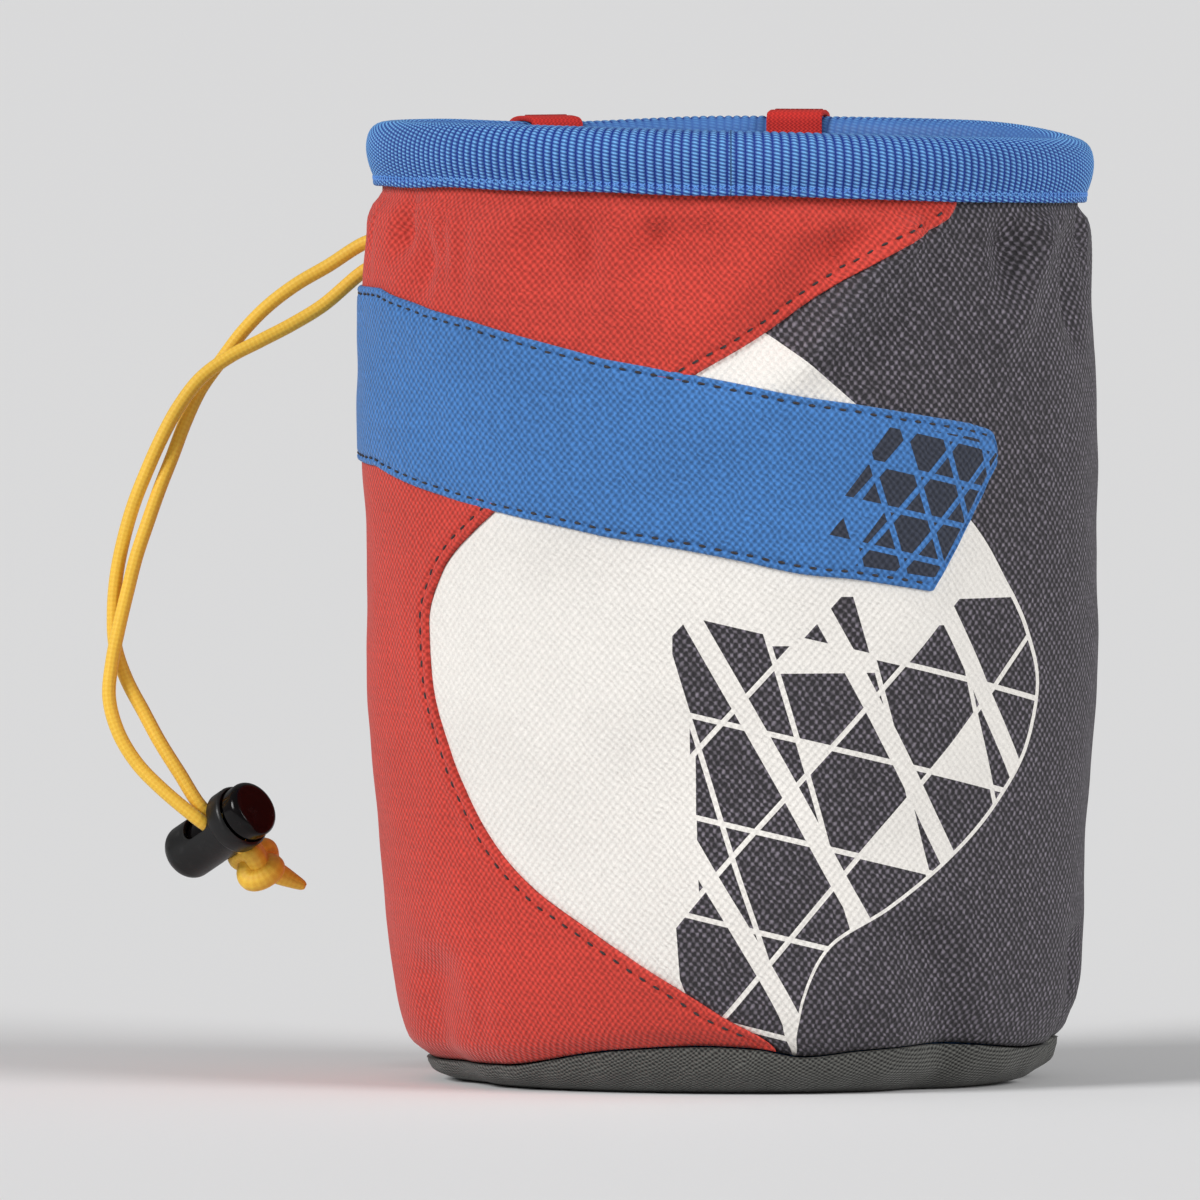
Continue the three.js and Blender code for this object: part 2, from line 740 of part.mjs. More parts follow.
function buildLockBarrel() {
  const bore = buttonRadius + lockFit;
  const headRoom = headRadius + lockFit;
  const seat = headFoot - buttonTravel - lockFit;
  const body = latheOf([
    [0, -barrelLength],
    [0.55 * barrelRadius, -barrelLength + 0.1 * barrelNose],
    [0.85 * barrelRadius, -barrelLength + 0.45 * barrelNose],
    [barrelRadius, -barrelLength + barrelNose],
    [barrelRadius, flangeFoot - flangeEdge],
    [flangeRadius, flangeFoot],
    [flangeRadius, mouthHeight - flangeEdge],
    [flangeRadius - flangeEdge, mouthHeight],
    [headRoom, mouthHeight],
    [headRoom, seat],
    [bore, seat],
    [bore, -barrelLength + boreFloor],
    [0, -barrelLength + boreFloor],
  ]);
  const top = -strandDrop + cordDiameter / 2 + lockFit;
  const slot = slotAcross(top - cordDiameter - lockFit - slotRoom, top);
  return placed(fromManifold(body.subtract(slot)), lockMatrix);
}

// Slotted plunger with a wider head that stands out of the barrel's mouth
function buildLockButton() {
  const body = latheOf([
    [0, -plungerDepth],
    [buttonRadius - lockFit, -plungerDepth],
    [buttonRadius, -plungerDepth + lockFit],
    [buttonRadius, headFoot],
    [headRadius, headFoot],
    [headRadius, buttonHeight - headEdge],
    [headRadius - 0.3 * headEdge, buttonHeight - 0.3 * headEdge],
    [headRadius - headEdge, buttonHeight],
    [0, buttonHeight],
  ]);
  const reach = cordDiameter / 2 + lockFit;
  const slot = slotAcross(-strandDrop - reach, -strandDrop + reach + buttonTravel);
  return placed(fromManifold(body.subtract(slot)), lockMatrix);
}

// Strands stop just past the barrel, in front of the knot
const strandEnd = barrelRadius + 0.1;

// Strand along its chosen points, then straight through the lock to the knot
function buildCord(route, side) {
  const points = route.map((point) => new THREE.Vector3(...point));
  const across = (side * strandSpacing) / 2;
  for (const along of [-barrelRadius, 0, strandEnd]) {
    points.push(lockPoint(along, across, -strandDrop));
  }
  const ring = new THREE.Shape();
  for (let n = 0; n < cordSides; n += 1) {
    const turn = (2 * Math.PI * n) / cordSides;
    const x = (cordDiameter / 2) * Math.cos(turn);
    const y = (cordDiameter / 2) * Math.sin(turn);
    if (n === 0) ring.moveTo(x, y);
    else ring.lineTo(x, y);
  }
  return new THREE.ExtrudeGeometry(ring, {
    steps: cordSteps,
    bevelEnabled: false,
    extrudePath: new THREE.CatmullRomCurve3(points, false, "centripetal"),
  });
}

// Round bar along the lock's axis that keeps the knot clear of the lock
function lockRoom(radius, low, high) {
  const room = new THREE.CylinderGeometry(radius, radius, high - low, lockSides);
  room.rotateX(Math.PI / 2);
  room.translate(0, 0, (low + high) / 2);
  return toManifold(placed(room, lockMatrix));
}

// Lump with the turns of the cord showing as swellings, hollowed where it meets the lock and
// the strands, and a tapering tail
function buildKnot() {
  const centre = lockPoint(knotReach, knotAside, -knotDrop);
  const lump = new THREE.SphereGeometry(knotRadius, 14, 10);
  const position = lump.attributes.position;
  const point = new THREE.Vector3();
  for (let k = 0; k < position.count; k += 1) {
    point.fromBufferAttribute(position, k);
    const turn = Math.atan2(point.y, point.x);
    const tilt = point.z / knotRadius;
    const swell = knotSwell * (1 - tilt * tilt) * Math.cos(3 * turn + 2.5 * tilt);
    point.multiplyScalar(1 + swell);
    position.setXYZ(k, point.x, point.y, point.z);
  }
  lump.translate(centre.x, centre.y, centre.z);
  const tail = barBetween(centre, tailEnd, tailRootRadius, tailTipRadius, tailSides);
  const width = strandSpacing + cordDiameter + 2 * lockFit;
  const throat = new THREE.BoxGeometry(strandEnd + clearance, width, cordDiameter + 2 * lockFit);
  throat.translate((strandEnd + clearance) / 2, 0, -strandDrop);
  const knot = toManifold(lump)
    .add(toManifold(tail))
    .subtract(lockRoom(barrelRadius + clearance, -barrelLength, mouthHeight))
    .subtract(lockRoom(flangeRadius + clearance, flangeFoot - flangeEdge, mouthHeight))
    .subtract(toManifold(placed(throat, lockMatrix)));
  return fromManifold(knot);
}

const chalkBag = new THREE.Group();
chalkBag.name = "chalk_bag";

function addPiece(name, geometry, color, roughness) {
  const material = new THREE.MeshStandardMaterial({ color, roughness, metalness: 0 });
  const mesh = new THREE.Mesh(geometry, material);
  mesh.name = name;
  chalkBag.add(mesh);
}

addPiece("body_panel", buildBodyPanel(), colours.charcoal, 0.85);
addPiece("side_panel", buildSidePanel(), colours.red, 0.85);
addPiece("blue_band", buildBand(), colours.blue, 0.8);
addPiece("base_panel", buildBase(), colours.base, 0.85);
addPiece("lining", buildLining(), colours.lining, 0.7);
addPiece("rim_binding", buildRimBinding(), colours.tape, 0.6);
addPiece("belt_loop_left", buildBeltLoop(loopAngles.left), colours.webbing, 0.7);
addPiece("belt_loop_right", buildBeltLoop(loopAngles.right), colours.webbing, 0.7);
addPiece("cord_upper", buildCord(cordRoutes.upper, -1), colours.cord, 0.6);
addPiece("cord_lower", buildCord(cordRoutes.lower, 1), colours.cord, 0.6);
addPiece("lock_barrel", buildLockBarrel(), colours.barrel, 0.45);
addPiece("lock_button", buildLockButton(), colours.button, 0.2);
addPiece("cord_knot", buildKnot(), colours.cord, 0.6);

export default chalkBag;
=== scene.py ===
import math

import bmesh
import bpy
import numpy as np
from mathutils import Matrix, Vector, noise


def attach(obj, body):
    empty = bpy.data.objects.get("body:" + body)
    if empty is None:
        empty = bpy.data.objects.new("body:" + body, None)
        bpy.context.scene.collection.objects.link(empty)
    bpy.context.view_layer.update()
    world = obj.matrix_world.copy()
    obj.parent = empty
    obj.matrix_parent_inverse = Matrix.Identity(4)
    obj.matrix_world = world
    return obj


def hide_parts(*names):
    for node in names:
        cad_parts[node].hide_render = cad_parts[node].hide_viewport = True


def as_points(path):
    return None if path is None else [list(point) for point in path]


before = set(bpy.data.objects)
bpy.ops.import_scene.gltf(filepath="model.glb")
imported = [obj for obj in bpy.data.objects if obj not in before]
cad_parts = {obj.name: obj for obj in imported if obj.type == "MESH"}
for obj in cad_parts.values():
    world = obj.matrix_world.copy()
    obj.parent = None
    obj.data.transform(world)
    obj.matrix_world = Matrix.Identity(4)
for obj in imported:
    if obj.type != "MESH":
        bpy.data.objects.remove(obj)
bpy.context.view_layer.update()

MM = 0.001
rng = np.random.default_rng(11)

# Sizes in millimetres, as in the part's source, with deeper folds and a wider lock head
BAG_WIDTH = 125
BAG_DEPTH = 104
RIM_HEIGHT = 162
SEAM_HEIGHT = 8.4
FOLD_DEPTH = 2.4 * 1.9
CLOTH = 1.5
CLEARANCE = 0.3
TAPE_CROWN = 2
TAPE_DROP = 10.6
LINING_INSET = 1.8
LINING_LOOSENESS = 2.4
LOOP_LENGTH = 52
BELT_GAP = 8
WEBBING = 0.9
WEBBING_WIDTH = 9.6
CORD = 2.4
BACK_SEAM = -132
BARREL_RADIUS = 4.75
BARREL_LENGTH = 14.9
BARREL_NOSE = 3.4
FLANGE_RADIUS = 5.55
FLANGE_FOOT = -0.4
MOUTH_HEIGHT = 2.8
HEAD_RADIUS = 4.9
HEAD_FOOT = 2.95
HEAD_EDGE = 1.4
BUTTON_RADIUS = 3.75
BUTTON_HEIGHT = 6.4
BUTTON_TRAVEL = 3.0
PLUNGER_DEPTH = 9.2
BORE_FLOOR = 2.2
LOCK_FIT = 0.3
EDGE_ROUND = 0.22
STRAND_DROP = 2.6
STRAND_SPACING = 2.75
SLOT_ROOM = 3.65
SLOT_TURN = math.radians(30)
KNOT_PLACE = (8.8, -0.9, -3.8)
KNOT_SETTLED = (0.0, 0.0, -0.35)
KNOT_WIDTH = 1.18
KNOT_DEPTH = 1.85
KNOT_TUBE = 1.85
THROAT_RADIUS = 2.3
STITCH_PITCH = 2.7
# Lifts of the stitches above the smooth wall
RED_STITCH_LIFT = 0.34
BAND_STITCH_LIFT = 0.62
# Angle at which the band's slanted end begins
BAND_CORNER = 31.0
LOOP_ANGLES = {"left": -147, "right": 168}
# The back seam's dip into the cloth and its reach to each side, and the wall's tucked bottom edge
SEAM_DIP = 0.9
SEAM_REACH = 1.1
TUCK_DEPTH = 1.3
TUCK_RISE = 0.014
# The cord's braid: strands each way round, turns in each millimetre, and relief
PLAIT_STRANDS = 5
PLAIT_RATE = 3.9
PLAIT_RELIEF = 0.014
# Rise at which the wall slips under the tape, and how soon folds and waves fade out below it
GATHER_TOP = 0.945
GATHER_FOOT = 0.82
GATHER_DEPTH = 0.2
GATHER_FADE = 0.02
SLACK_FADE = 0.03
# Share of the knot's tail, from its root, and its radius there
TAIL_TAPER = ([0, 0.35, 0.6, 0.85, 0.95, 1.0], [2.1, 2.0, 1.6, 1.1, 0.85, 0.5])
# Place along half a stitch, and its thickness there
STITCH_STATIONS = [(-1.0, 0.25), (-0.82, 0.75), (-0.4, 1.0), (0.4, 1.0), (0.82, 0.75), (1.0, 0.25)]
STITCH_SIDES = 6
STITCH_INSET = 1.25
FRONT_HEIGHT = RIM_HEIGHT - SEAM_HEIGHT
# Scale of the fuzz on woven cloth, and how much it adds to the weave's relief
FUZZ_SCALE = 3800
FUZZ_SHARE = 0.18

# Rise, then half sizes to the left, right, front and back as shares
WALL = np.array([
    (0.0, 0.824, 0.907, 0.9, 0.89),
    (0.02, 0.862, 0.92, 0.93, 0.915),
    (0.045, 0.882, 0.945, 0.955, 0.935),
    (0.075, 0.899, 0.957, 0.972, 0.95),
    (0.13, 0.92, 0.964, 0.985, 0.965),
    (0.2, 0.942, 0.969, 0.995, 0.975),
    (0.32, 0.963, 0.985, 1.0, 0.985),
    (0.45, 0.978, 0.998, 1.0, 0.99),
    (0.57, 0.983, 1.002, 1.0, 0.99),
    (0.68, 0.986, 1.001, 1.0, 0.99),
    (0.78, 0.984, 0.994, 0.995, 0.985),
    (0.86, 0.983, 0.988, 0.988, 0.98),
    (0.905, 0.98, 0.98, 0.98, 0.972),
    (0.925, 0.962, 0.968, 0.965, 0.958),
    (0.94, 0.936, 0.944, 0.945, 0.94),
    (1.0, 0.932, 0.94, 0.94, 0.935),
])
# Angle and height as a share of the rim height
RIM = np.array([
    (-180, 0.9975), (-150, 0.992), (-120, 0.9975), (-90, 0.9988), (-45, 1.0006), (0, 0.9957),
    (45, 0.987), (90, 0.981), (135, 0.995), (180, 0.9975),
])
# Angle and height as a share of the seam height
SEAM = np.array([
    (-180, 0.88), (-135, 0.71), (-90, 0.49), (-50, 0.52), (-24, 0.9), (-8, 1.0), (2, 0.95),
    (11, 0.79), (22, 0.9), (40, 0.98), (65, 0.81), (90, 0.86), (135, 0.83), (180, 0.88),
])
# Angle, width, lean, top, bottom and depth of the creases
FOLDS = [
    (-31, 4.5, 10, 0.945, 0.78, 0.5), (-22, 4, -30, 0.945, 0.82, 0.4),
    (-8, 4.5, 20, 0.945, 0.78, 0.55), (0, 4.5, 0, 0.945, 0.8, 0.4),
    (22, 7, -120, 0.93, 0.7, 0.75), (33, 4.5, -120, 0.94, 0.7, -0.6),
    (42, 4, -20, 0.945, 0.86, 0.6), (52, 5, -15, 0.945, 0.8, 0.9),
    (63, 4.5, -90, 0.945, 0.74, -0.45), (77, 6, -40, 0.945, 0.76, 0.7),
    (-62, 6, 20, 0.945, 0.78, 0.4), (112, 8, 30, 0.945, 0.7, 0.6),
    (-172, 7, -30, 0.945, 0.72, 0.5), (-128, 7, 30, 0.945, 0.75, 0.5),
    (30, 7, 60, 0.16, 0.0, 0.6), (-60, 8, -60, 0.14, 0.0, 0.5),
    (78, 6, 40, 0.15, 0.0, 0.7), (150, 9, -40, 0.16, 0.0, 0.5),
]
# Rise and angle of the red panel's front edge
RED_EDGE = np.array([
    (0.0, 5.5), (0.038, -4.3), (0.083, -14.6), (0.133, -24.8), (0.183, -34.3), (0.242, -42.3),
    (0.33, -50.2), (0.421, -55.3), (0.476, -55.9), (0.534, -51.9), (0.598, -40.0),
    (0.678, -20.3), (0.747, -5.6), (0.787, 3.9), (0.837, 13.9), (0.888, 26.4), (0.942, 40.0),
    (1.0, 41.5),
])
# Angle, lower rise and upper rise of the band
BAND = np.array([
    (-131.4, 0.65, 0.838), (-90, 0.648, 0.838), (-73, 0.644, 0.837), (-45, 0.606, 0.805),
    (-20, 0.566, 0.762), (5, 0.537, 0.733), (18, 0.526, 0.72), (32.3, 0.509, 0.704),
    (39.3, 0.586, 0.697), (44.2, 0.638, 0.689), (45.5, 0.652, 0.668),
])
# Rise and angle of the pale area's right outline, in its two stretches
PALE_SHOULDER = [(0.80, 4.0), (0.788, 7.1), (0.723, 18.7), (0.586, 40.2), (0.506, 49.7)]
PALE_BELLY = [
    (0.506, 49.7), (0.467, 53.6), (0.411, 56.7), (0.344, 54.5), (0.275, 47.5), (0.208, 37.0),
    (0.156, 25.6), (0.118, 15.0), (0.06, 10.4), (0.013, 9.6), (-0.03, 8.5),
]
# Reach, lift and uprightness of the bottom dish
DISH = np.array([
    (0.0, 0.0, 0.0), (0.815, 0.0, 0.0), (0.905, 0.14, 0.4), (0.965, 0.5, 0.8), (1.0, 1.0, 1.0),
])
# Drop and stand-off of a belt loop's outer leg
LOOP = [
    (0.03, 0), (0.14, 0), (0.23, 0.2), (0.32, 0.72), (0.42, 0.97), (0.58, 1), (0.7, 0.85),
    (0.79, 0.4), (0.86, 0.06), (0.92, 0), (1.0, 0),
]
# Route of the two cord strands, in metres, as in the part's source
ROUTES = {
    "upper": [
        (-0.0581, 0.0134, 0.1421), (-0.0618, 0.0146, 0.1409), (-0.0678, 0.0158, 0.1371),
        (-0.0731, 0.0161, 0.134), (-0.078, 0.0165, 0.1303), (-0.0822, 0.0165, 0.126),
        (-0.0859, 0.0161, 0.1211), (-0.0894, 0.015, 0.1162), (-0.092, 0.0139, 0.1107),
        (-0.0941, 0.0125, 0.1051), (-0.0963, 0.0108, 0.0995), (-0.0983, 0.0091, 0.0938),
        (-0.1002, 0.008, 0.0881), (-0.1017, 0.0074, 0.0822), (-0.1031, 0.0069, 0.0763),
        (-0.1043, 0.0064, 0.0703), (-0.1048, 0.0058, 0.0643), (-0.1033, 0.0049, 0.0586),
        (-0.1002, 0.0038, 0.0534), (-0.096, 0.0023, 0.0491),
    ],
    "lower": [
        (-0.0581, 0.013, 0.1382), (-0.0618, 0.0135, 0.1362), (-0.0686, 0.0134, 0.1305),
        (-0.0738, 0.0131, 0.1273), (-0.0792, 0.0128, 0.1245), (-0.0846, 0.0125, 0.1217),
        (-0.0894, 0.0121, 0.1181), (-0.0931, 0.0115, 0.1133), (-0.096, 0.0109, 0.108),
        (-0.0985, 0.0106, 0.1024), (-0.1007, 0.0104, 0.0968), (-0.1024, 0.0102, 0.0909),
        (-0.1036, 0.0101, 0.0849), (-0.1041, 0.0099, 0.0789), (-0.1038, 0.0096, 0.0728),
        (-0.1019, 0.0086, 0.0672), (-0.099, 0.0073, 0.0618), (-0.0963, 0.0056, 0.0569),
        (-0.0929, 0.0039, 0.0516),
    ],
}
LOCK_PLACE = Vector((-83.85, 2, 43.35)) * MM
LOCK_AXIS = Vector((0.639, -0.616, 0.461)).normalized()
TAIL_END = Vector((-71.6, 7.5, 32.1)) * MM

# Light from all sides, and the camera, placed as the photograph was taken
SKY_LIGHT = 0.26
TARGET = Vector((-0.0217, 0.0, 0.08105))
CAMERA_DISTANCE = 4.0
CAMERA_LENS = 710
CAMERA_RISE = math.radians(2.5)


def look_at(obj, target):
    obj.rotation_euler = (target - obj.location).to_track_quat("-Z", "Y").to_euler()


def add_object(name, data):
    obj = bpy.data.objects.new(name, data)
    bpy.context.collection.objects.link(obj)
    return obj


camera_data = bpy.data.cameras.new("camera")
camera_data.lens = CAMERA_LENS
camera_data.clip_end = 100
camera = add_object("camera", camera_data)
camera.location = TARGET + CAMERA_DISTANCE * Vector((0, -math.cos(CAMERA_RISE), math.sin(CAMERA_RISE)))
look_at(camera, TARGET)
bpy.context.scene.camera = camera


# Shader helpers

class Term:
    """A value that a material works out for each point, with plain arithmetic."""

    def __init__(self, shader, socket):
        self.shader = shader
        self.socket = socket

    def __add__(self, other):
        return self.shader.math("ADD", self, other)

    def __sub__(self, other):
        return self.shader.math("SUBTRACT", self, other)

    def __rsub__(self, other):
        return self.shader.math("SUBTRACT", other, self)

    def __mul__(self, other):
        return self.shader.math("MULTIPLY", self, other)

    def above(self, limit):
        """1 where it passes the limit, and 0 elsewhere."""
        return self.shader.math("GREATER_THAN", self, limit)


class Shader:
    """A material with one Principled shader, and short calls for its nodes."""

    def __init__(self, name, roughness, **constants):
        self.material = bpy.data.materials.new(name)
        self.material.use_nodes = True
        self.tree = self.material.node_tree
        self.skin = self.tree.nodes["Principled BSDF"]
        self.skin.inputs["Roughness"].default_value = roughness
        for socket, value in constants.items():
            self.skin.inputs[socket.replace("_", " ")].default_value = value

    def feed(self, socket, value):
        if isinstance(value, Term):
            self.tree.links.new(value.socket, socket)
        elif isinstance(value, tuple):
            socket.default_value = value[:len(socket.default_value)]
        else:
            socket.default_value = value

    def node(self, kind, inputs, output=0, operation=None, layer=None, data_type=None):
        """The output of a new node, whose inputs are given by number or name."""
        node = self.tree.nodes.new("ShaderNode" + kind)
        if operation:
            node.operation = operation
        if layer:
            node.attribute_name = layer
        if data_type:
            node.data_type = data_type
        for key, value in inputs.items():
            self.feed(node.inputs[key], value)
        return Term(self, node.outputs[output])

    def math(self, operation, *values):
        return self.node("Math", dict(enumerate(values)), operation=operation)

    def sine(self, value):
        return self.math("SINE", value)

    def join(self, *values):
        return self.node("CombineXYZ", dict(enumerate(values)))

    def values(self, layer="cloth"):
        """The three numbers that a mesh keeps for each point."""
        vector = self.node("Attribute", {}, "Vector", layer=layer)
        parts = self.node("SeparateXYZ", {0: vector}).socket.node
        return [Term(self, socket) for socket in parts.outputs]

    def noise(self, scale, detail=2.0, place=None):
        """Noise over a place, or over the object's own place."""
        place = place or self.node("TexCoord", {}, "Object")
        return self.node("TexNoise", {"Vector": place, "Scale": scale, "Detail": detail}, "Fac")

    def span(self, value, low, high, to_low=0.0, to_high=1.0):
        return self.node("MapRange", dict(enumerate((value, low, high, to_low, to_high))))

    def even(self, noise, low, high):
        """Noise brought between two factors, of which it fills the whole range."""
        return self.span(noise, 0.3, 0.7, low, high)

    def mix(self, share, first, second):
        return self.node("Mix", {0: share, 6: first, 7: second}, 2, data_type="RGBA")

    def bump(self, height, distance):
        return self.node("Bump", {"Strength": 1.0, "Distance": distance, "Height": height})

    def finish(self, colour, level, roughness, bump):
        """The material, with its colour scaled by a level."""
        shade = self.node("VectorMath", {0: colour, "Scale": level}, operation="SCALE")
        for socket, value in (("Base Color", shade), ("Roughness", roughness), ("Normal", bump)):
            if value is not None:
                self.feed(self.skin.inputs[socket], value)
        return self.material


def linear(red, green, blue):
    """A colour as the photograph shows it, from 0 to 255, as scene light."""
    def channel(value):
        value /= 255
        return value / 12.92 if value <= 0.04045 else ((value + 0.055) / 1.055) ** 2.4
    return (channel(red), channel(green), channel(blue), 1.0)


def weave_height(shader, across, up, pitch):
    """Plain weave: raised warp crossings in staggered rows, from 0 to 1."""
    drift = (shader.noise(300) - 0.5) * 1.1 + (shader.noise(900) - 0.5) * 0.7
    first = shader.sine((across + drift) * (2 * math.pi / pitch[0]))
    second = shader.sine((up + drift) * (2 * math.pi / pitch[1]))
    return first * second * 0.5 + 0.5


def cloth_finish(shader, colour, pitch, gap_shade_and_highlight, relief, across, up):
    """Weave with painted shade in its gaps and painted highlights on its crossings, thread-to-thread
    variation, soft soiling and fuzz for a woven cloth.
    """
    weave = weave_height(shader, across, up, pitch)
    fuzz = shader.noise(FUZZ_SCALE)
    # The weave's level runs from painted shade in the thread gaps to painted highlights on the crossings
    level = shader.span(weave, 0.12, 0.9, *gap_shade_and_highlight) * shader.even(shader.noise(35, 3.0), 0.95, 1.04)
    for sideways, upward in ((0.05, 1.1), (1.3, 0.05)):
        thread = shader.noise(1.0, place=shader.join(across * sideways, up * upward))
        level *= shader.even(thread, 0.95, 1.05)
    level *= shader.even(fuzz, 0.93, 1.07)
    roughness = shader.span(weave, 0.0, 1.0, 0.95, 0.72)
    return shader.finish(colour, level, roughness, shader.bump(fuzz * FUZZ_SHARE + weave, relief))


# Surface of the wall

def curve(rows, at, column=1):
    """Smooth curve through a table's rows that never swings past them."""
    rows = np.asarray(rows, float)
    x, y = rows[:, 0], rows[:, column]
    run = np.diff(x)
    slope = np.diff(y) / run
    before, after = slope[:-1], slope[1:]
    early = 2 * run[1:] + run[:-1]
    late = run[1:] + 2 * run[:-1]
    same = before * after > 0
    tangent = np.zeros(len(x))
    inner = (early + late)[same] / (early[same] / before[same] + late[same] / after[same])
    tangent[1:-1][same] = inner
    at = np.clip(np.asarray(at, float), x[0], x[-1])
    k = np.clip(np.searchsorted(x, at, side="left") - 1, 0, len(run) - 1)
    t = (at - x[k]) / run[k]
    return ((2 * t**3 - 3 * t**2 + 1) * y[k] + (t**3 - 2 * t**2 + t) * run[k] * tangent[k]
            + (3 * t**2 - 2 * t**3) * y[k + 1] + (t**3 - t**2) * run[k] * tangent[k + 1])


def straight(rows, at, column):
    rows = np.asarray(rows, float)
    return np.interp(at, rows[:, 0], rows[:, column])


def wrap(angle):
    return (np.asarray(angle, float) + 180) % 360 - 180


def step(value):
    share = np.clip(value, 0, 1)
    return share * share * (3 - 2 * share)


def rim_at(angle):
    return RIM_HEIGHT * curve(RIM, wrap(angle))


def seam_at(angle):
    return SEAM_HEIGHT * curve(SEAM, wrap(angle))


def wall_top_at(angle):
    return rim_at(angle) - TAPE_CROWN - CLEARANCE


def rise_at(angle, height):
    return np.clip((height - seam_at(angle)) / (wall_top_at(angle) - seam_at(angle)), 0, 1)


def smooth_wall(angle, rise):
    angle, rise = np.broadcast_arrays(np.asarray(angle, float), np.asarray(rise, float))
    turn = np.radians(angle)
    left, right, front, back = (curve(WALL, rise, k) for k in (1, 2, 3, 4))
    x = BAG_WIDTH / 2 * ((right - left) / 2 + (right + left) / 2 * np.sin(turn))
    y = -BAG_DEPTH / 2 * ((front - back) / 2 + (front + back) / 2 * np.cos(turn))
    z = seam_at(angle) + (wall_top_at(angle) - seam_at(angle)) * rise
    return np.stack([x, y, z], -1)


def outward_at(angle, rise):
    along = smooth_wall(angle + 0.5, rise) - smooth_wall(angle - 0.5, rise)
    normal = np.stack([along[..., 1], -along[..., 0], np.zeros_like(along[..., 0])], -1)
    return normal / np.linalg.norm(normal, axis=-1, keepdims=True)


def scattered_creases(count, low, high, deepest, lean):
    """Small seeded creases: angle, width, lean, middle rise, reach and depth."""
    return np.stack([
        rng.uniform(-180, 180, count), rng.uniform(1.6, 4.0, count), rng.uniform(-lean, lean, count),
        rng.uniform(low, high, count), rng.uniform(0.02, 0.07, count),
        rng.uniform(-0.4, 1.0, count) * deepest,
    ], -1)


SMALL_CREASES = np.concatenate([
    scattered_creases(96, 0.84, 0.93, 1.6, 25),
    scattered_creases(40, 0.01, 0.09, 0.6, 70),
    scattered_creases(26, 0.1, 0.8, 0.25, 70),
])


def fold_depth(angle, rise):
    """How far the wall is drawn in by its folds, small creases and gathers."""
    depth = np.zeros(np.broadcast(angle, rise).shape)
    below_tape = step((GATHER_TOP - rise) / GATHER_FADE)
    for middle, width, lean, top, bottom, deep in FOLDS:
        aside = wrap(angle - middle - lean * (top - rise)) / width
        fade = step((top - rise) / 0.05) * (step((rise - bottom) / 0.1) if bottom > 0 else 1)
        depth += FOLD_DEPTH * deep * np.exp(-aside**2) * fade
    for middle, width, lean, at, reach, deep in SMALL_CREASES:
        aside = wrap(angle - middle - lean * (rise - at)) / width
        depth += deep * np.exp(-aside**2 - ((rise - at) / reach) ** 2) * below_tape
    gathered = below_tape * step((rise - GATHER_FOOT) / 0.12)
    pleats = np.cos(np.radians(angle * 44 + 40 * np.sin(np.radians(angle * 5))))
    return depth + GATHER_DEPTH * gathered * pleats


def run_length(points):
    """Distance from the first point to each point of a line."""
    return np.concatenate([[0], np.cumsum(np.linalg.norm(np.diff(points, axis=0), axis=1))])


def headings(points):
    """Direction of a line at each of its points."""
    along = np.gradient(points, axis=0)
    return along / np.linalg.norm(along, axis=1, keepdims=True)


def at_length(at, length, points):
    return np.stack([np.interp(at, length, points[:, k]) for k in range(3)], -1)


def undulation(points, size, height):
    flat = points.reshape(-1, 3)
    values = [noise.noise(Vector(p) / size) for p in flat]
    return np.array(values).reshape(points.shape[:-1]) * height


def slack_cloth(points, small=0.22):
    """Broad and small waves of the cloth."""
    return undulation(points, 26, 0.8) + undulation(points, 9, small)


def wall(angle, rise, offset=0.0, folded=True):
    base = smooth_wall(angle, rise)
    depth = fold_depth(angle, rise) if folded else 0.0
    return base + outward_at(angle, rise) * np.asarray(offset - depth)[..., None]


ARC_ANGLES = np.arange(-200, 281)
ARC_LENGTHS = run_length(smooth_wall(ARC_ANGLES, 0.6)[:, :2])
ARC_LENGTHS -= np.interp(0, ARC_ANGLES, ARC_LENGTHS)


def arc_at(angle):
    """Distance along the cloth from the middle of the front, in millimetres."""
    return np.interp(angle, ARC_ANGLES, ARC_LENGTHS)


def angle_per_mm(angle):
    return 1 / (np.interp(angle + 0.5, ARC_ANGLES, ARC_LENGTHS)
                - np.interp(angle - 0.5, ARC_ANGLES, ARC_LENGTHS))


# Mesh helpers

def grid_faces(columns, rows, around, start=0):
    c, r = np.meshgrid(np.arange(columns if around else columns - 1), np.arange(rows - 1),
                       indexing="ij")
    n = (c + 1) % columns
    quads = np.stack([c * rows + r, n * rows + r, n * rows + r + 1, c * rows + r + 1], -1)
    return quads.reshape(-1, 4) + start


def make_piece(name, points, faces, material, replaces=(), body="bag", layers=None):
    """An object from points in millimetres; layers are named values for each point."""
    mesh = bpy.data.meshes.new(name)
    mesh.from_pydata((np.asarray(points, float) * MM).tolist(), [], [list(f) for f in faces])
    for layer, values in (layers or {}).items():
        values = np.asarray(values, float)
        kind = "FLOAT" if values.ndim == 1 else "FLOAT_VECTOR"
        data = mesh.attributes.new(layer, kind, "POINT").data
        data.foreach_set("value" if values.ndim == 1 else "vector", values.ravel())
    mesh.shade_smooth()
    mesh.materials.append(material)
    piece = add_object(name, mesh)
    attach(piece, body)
    if replaces:
        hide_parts(*replaces)
    return piece


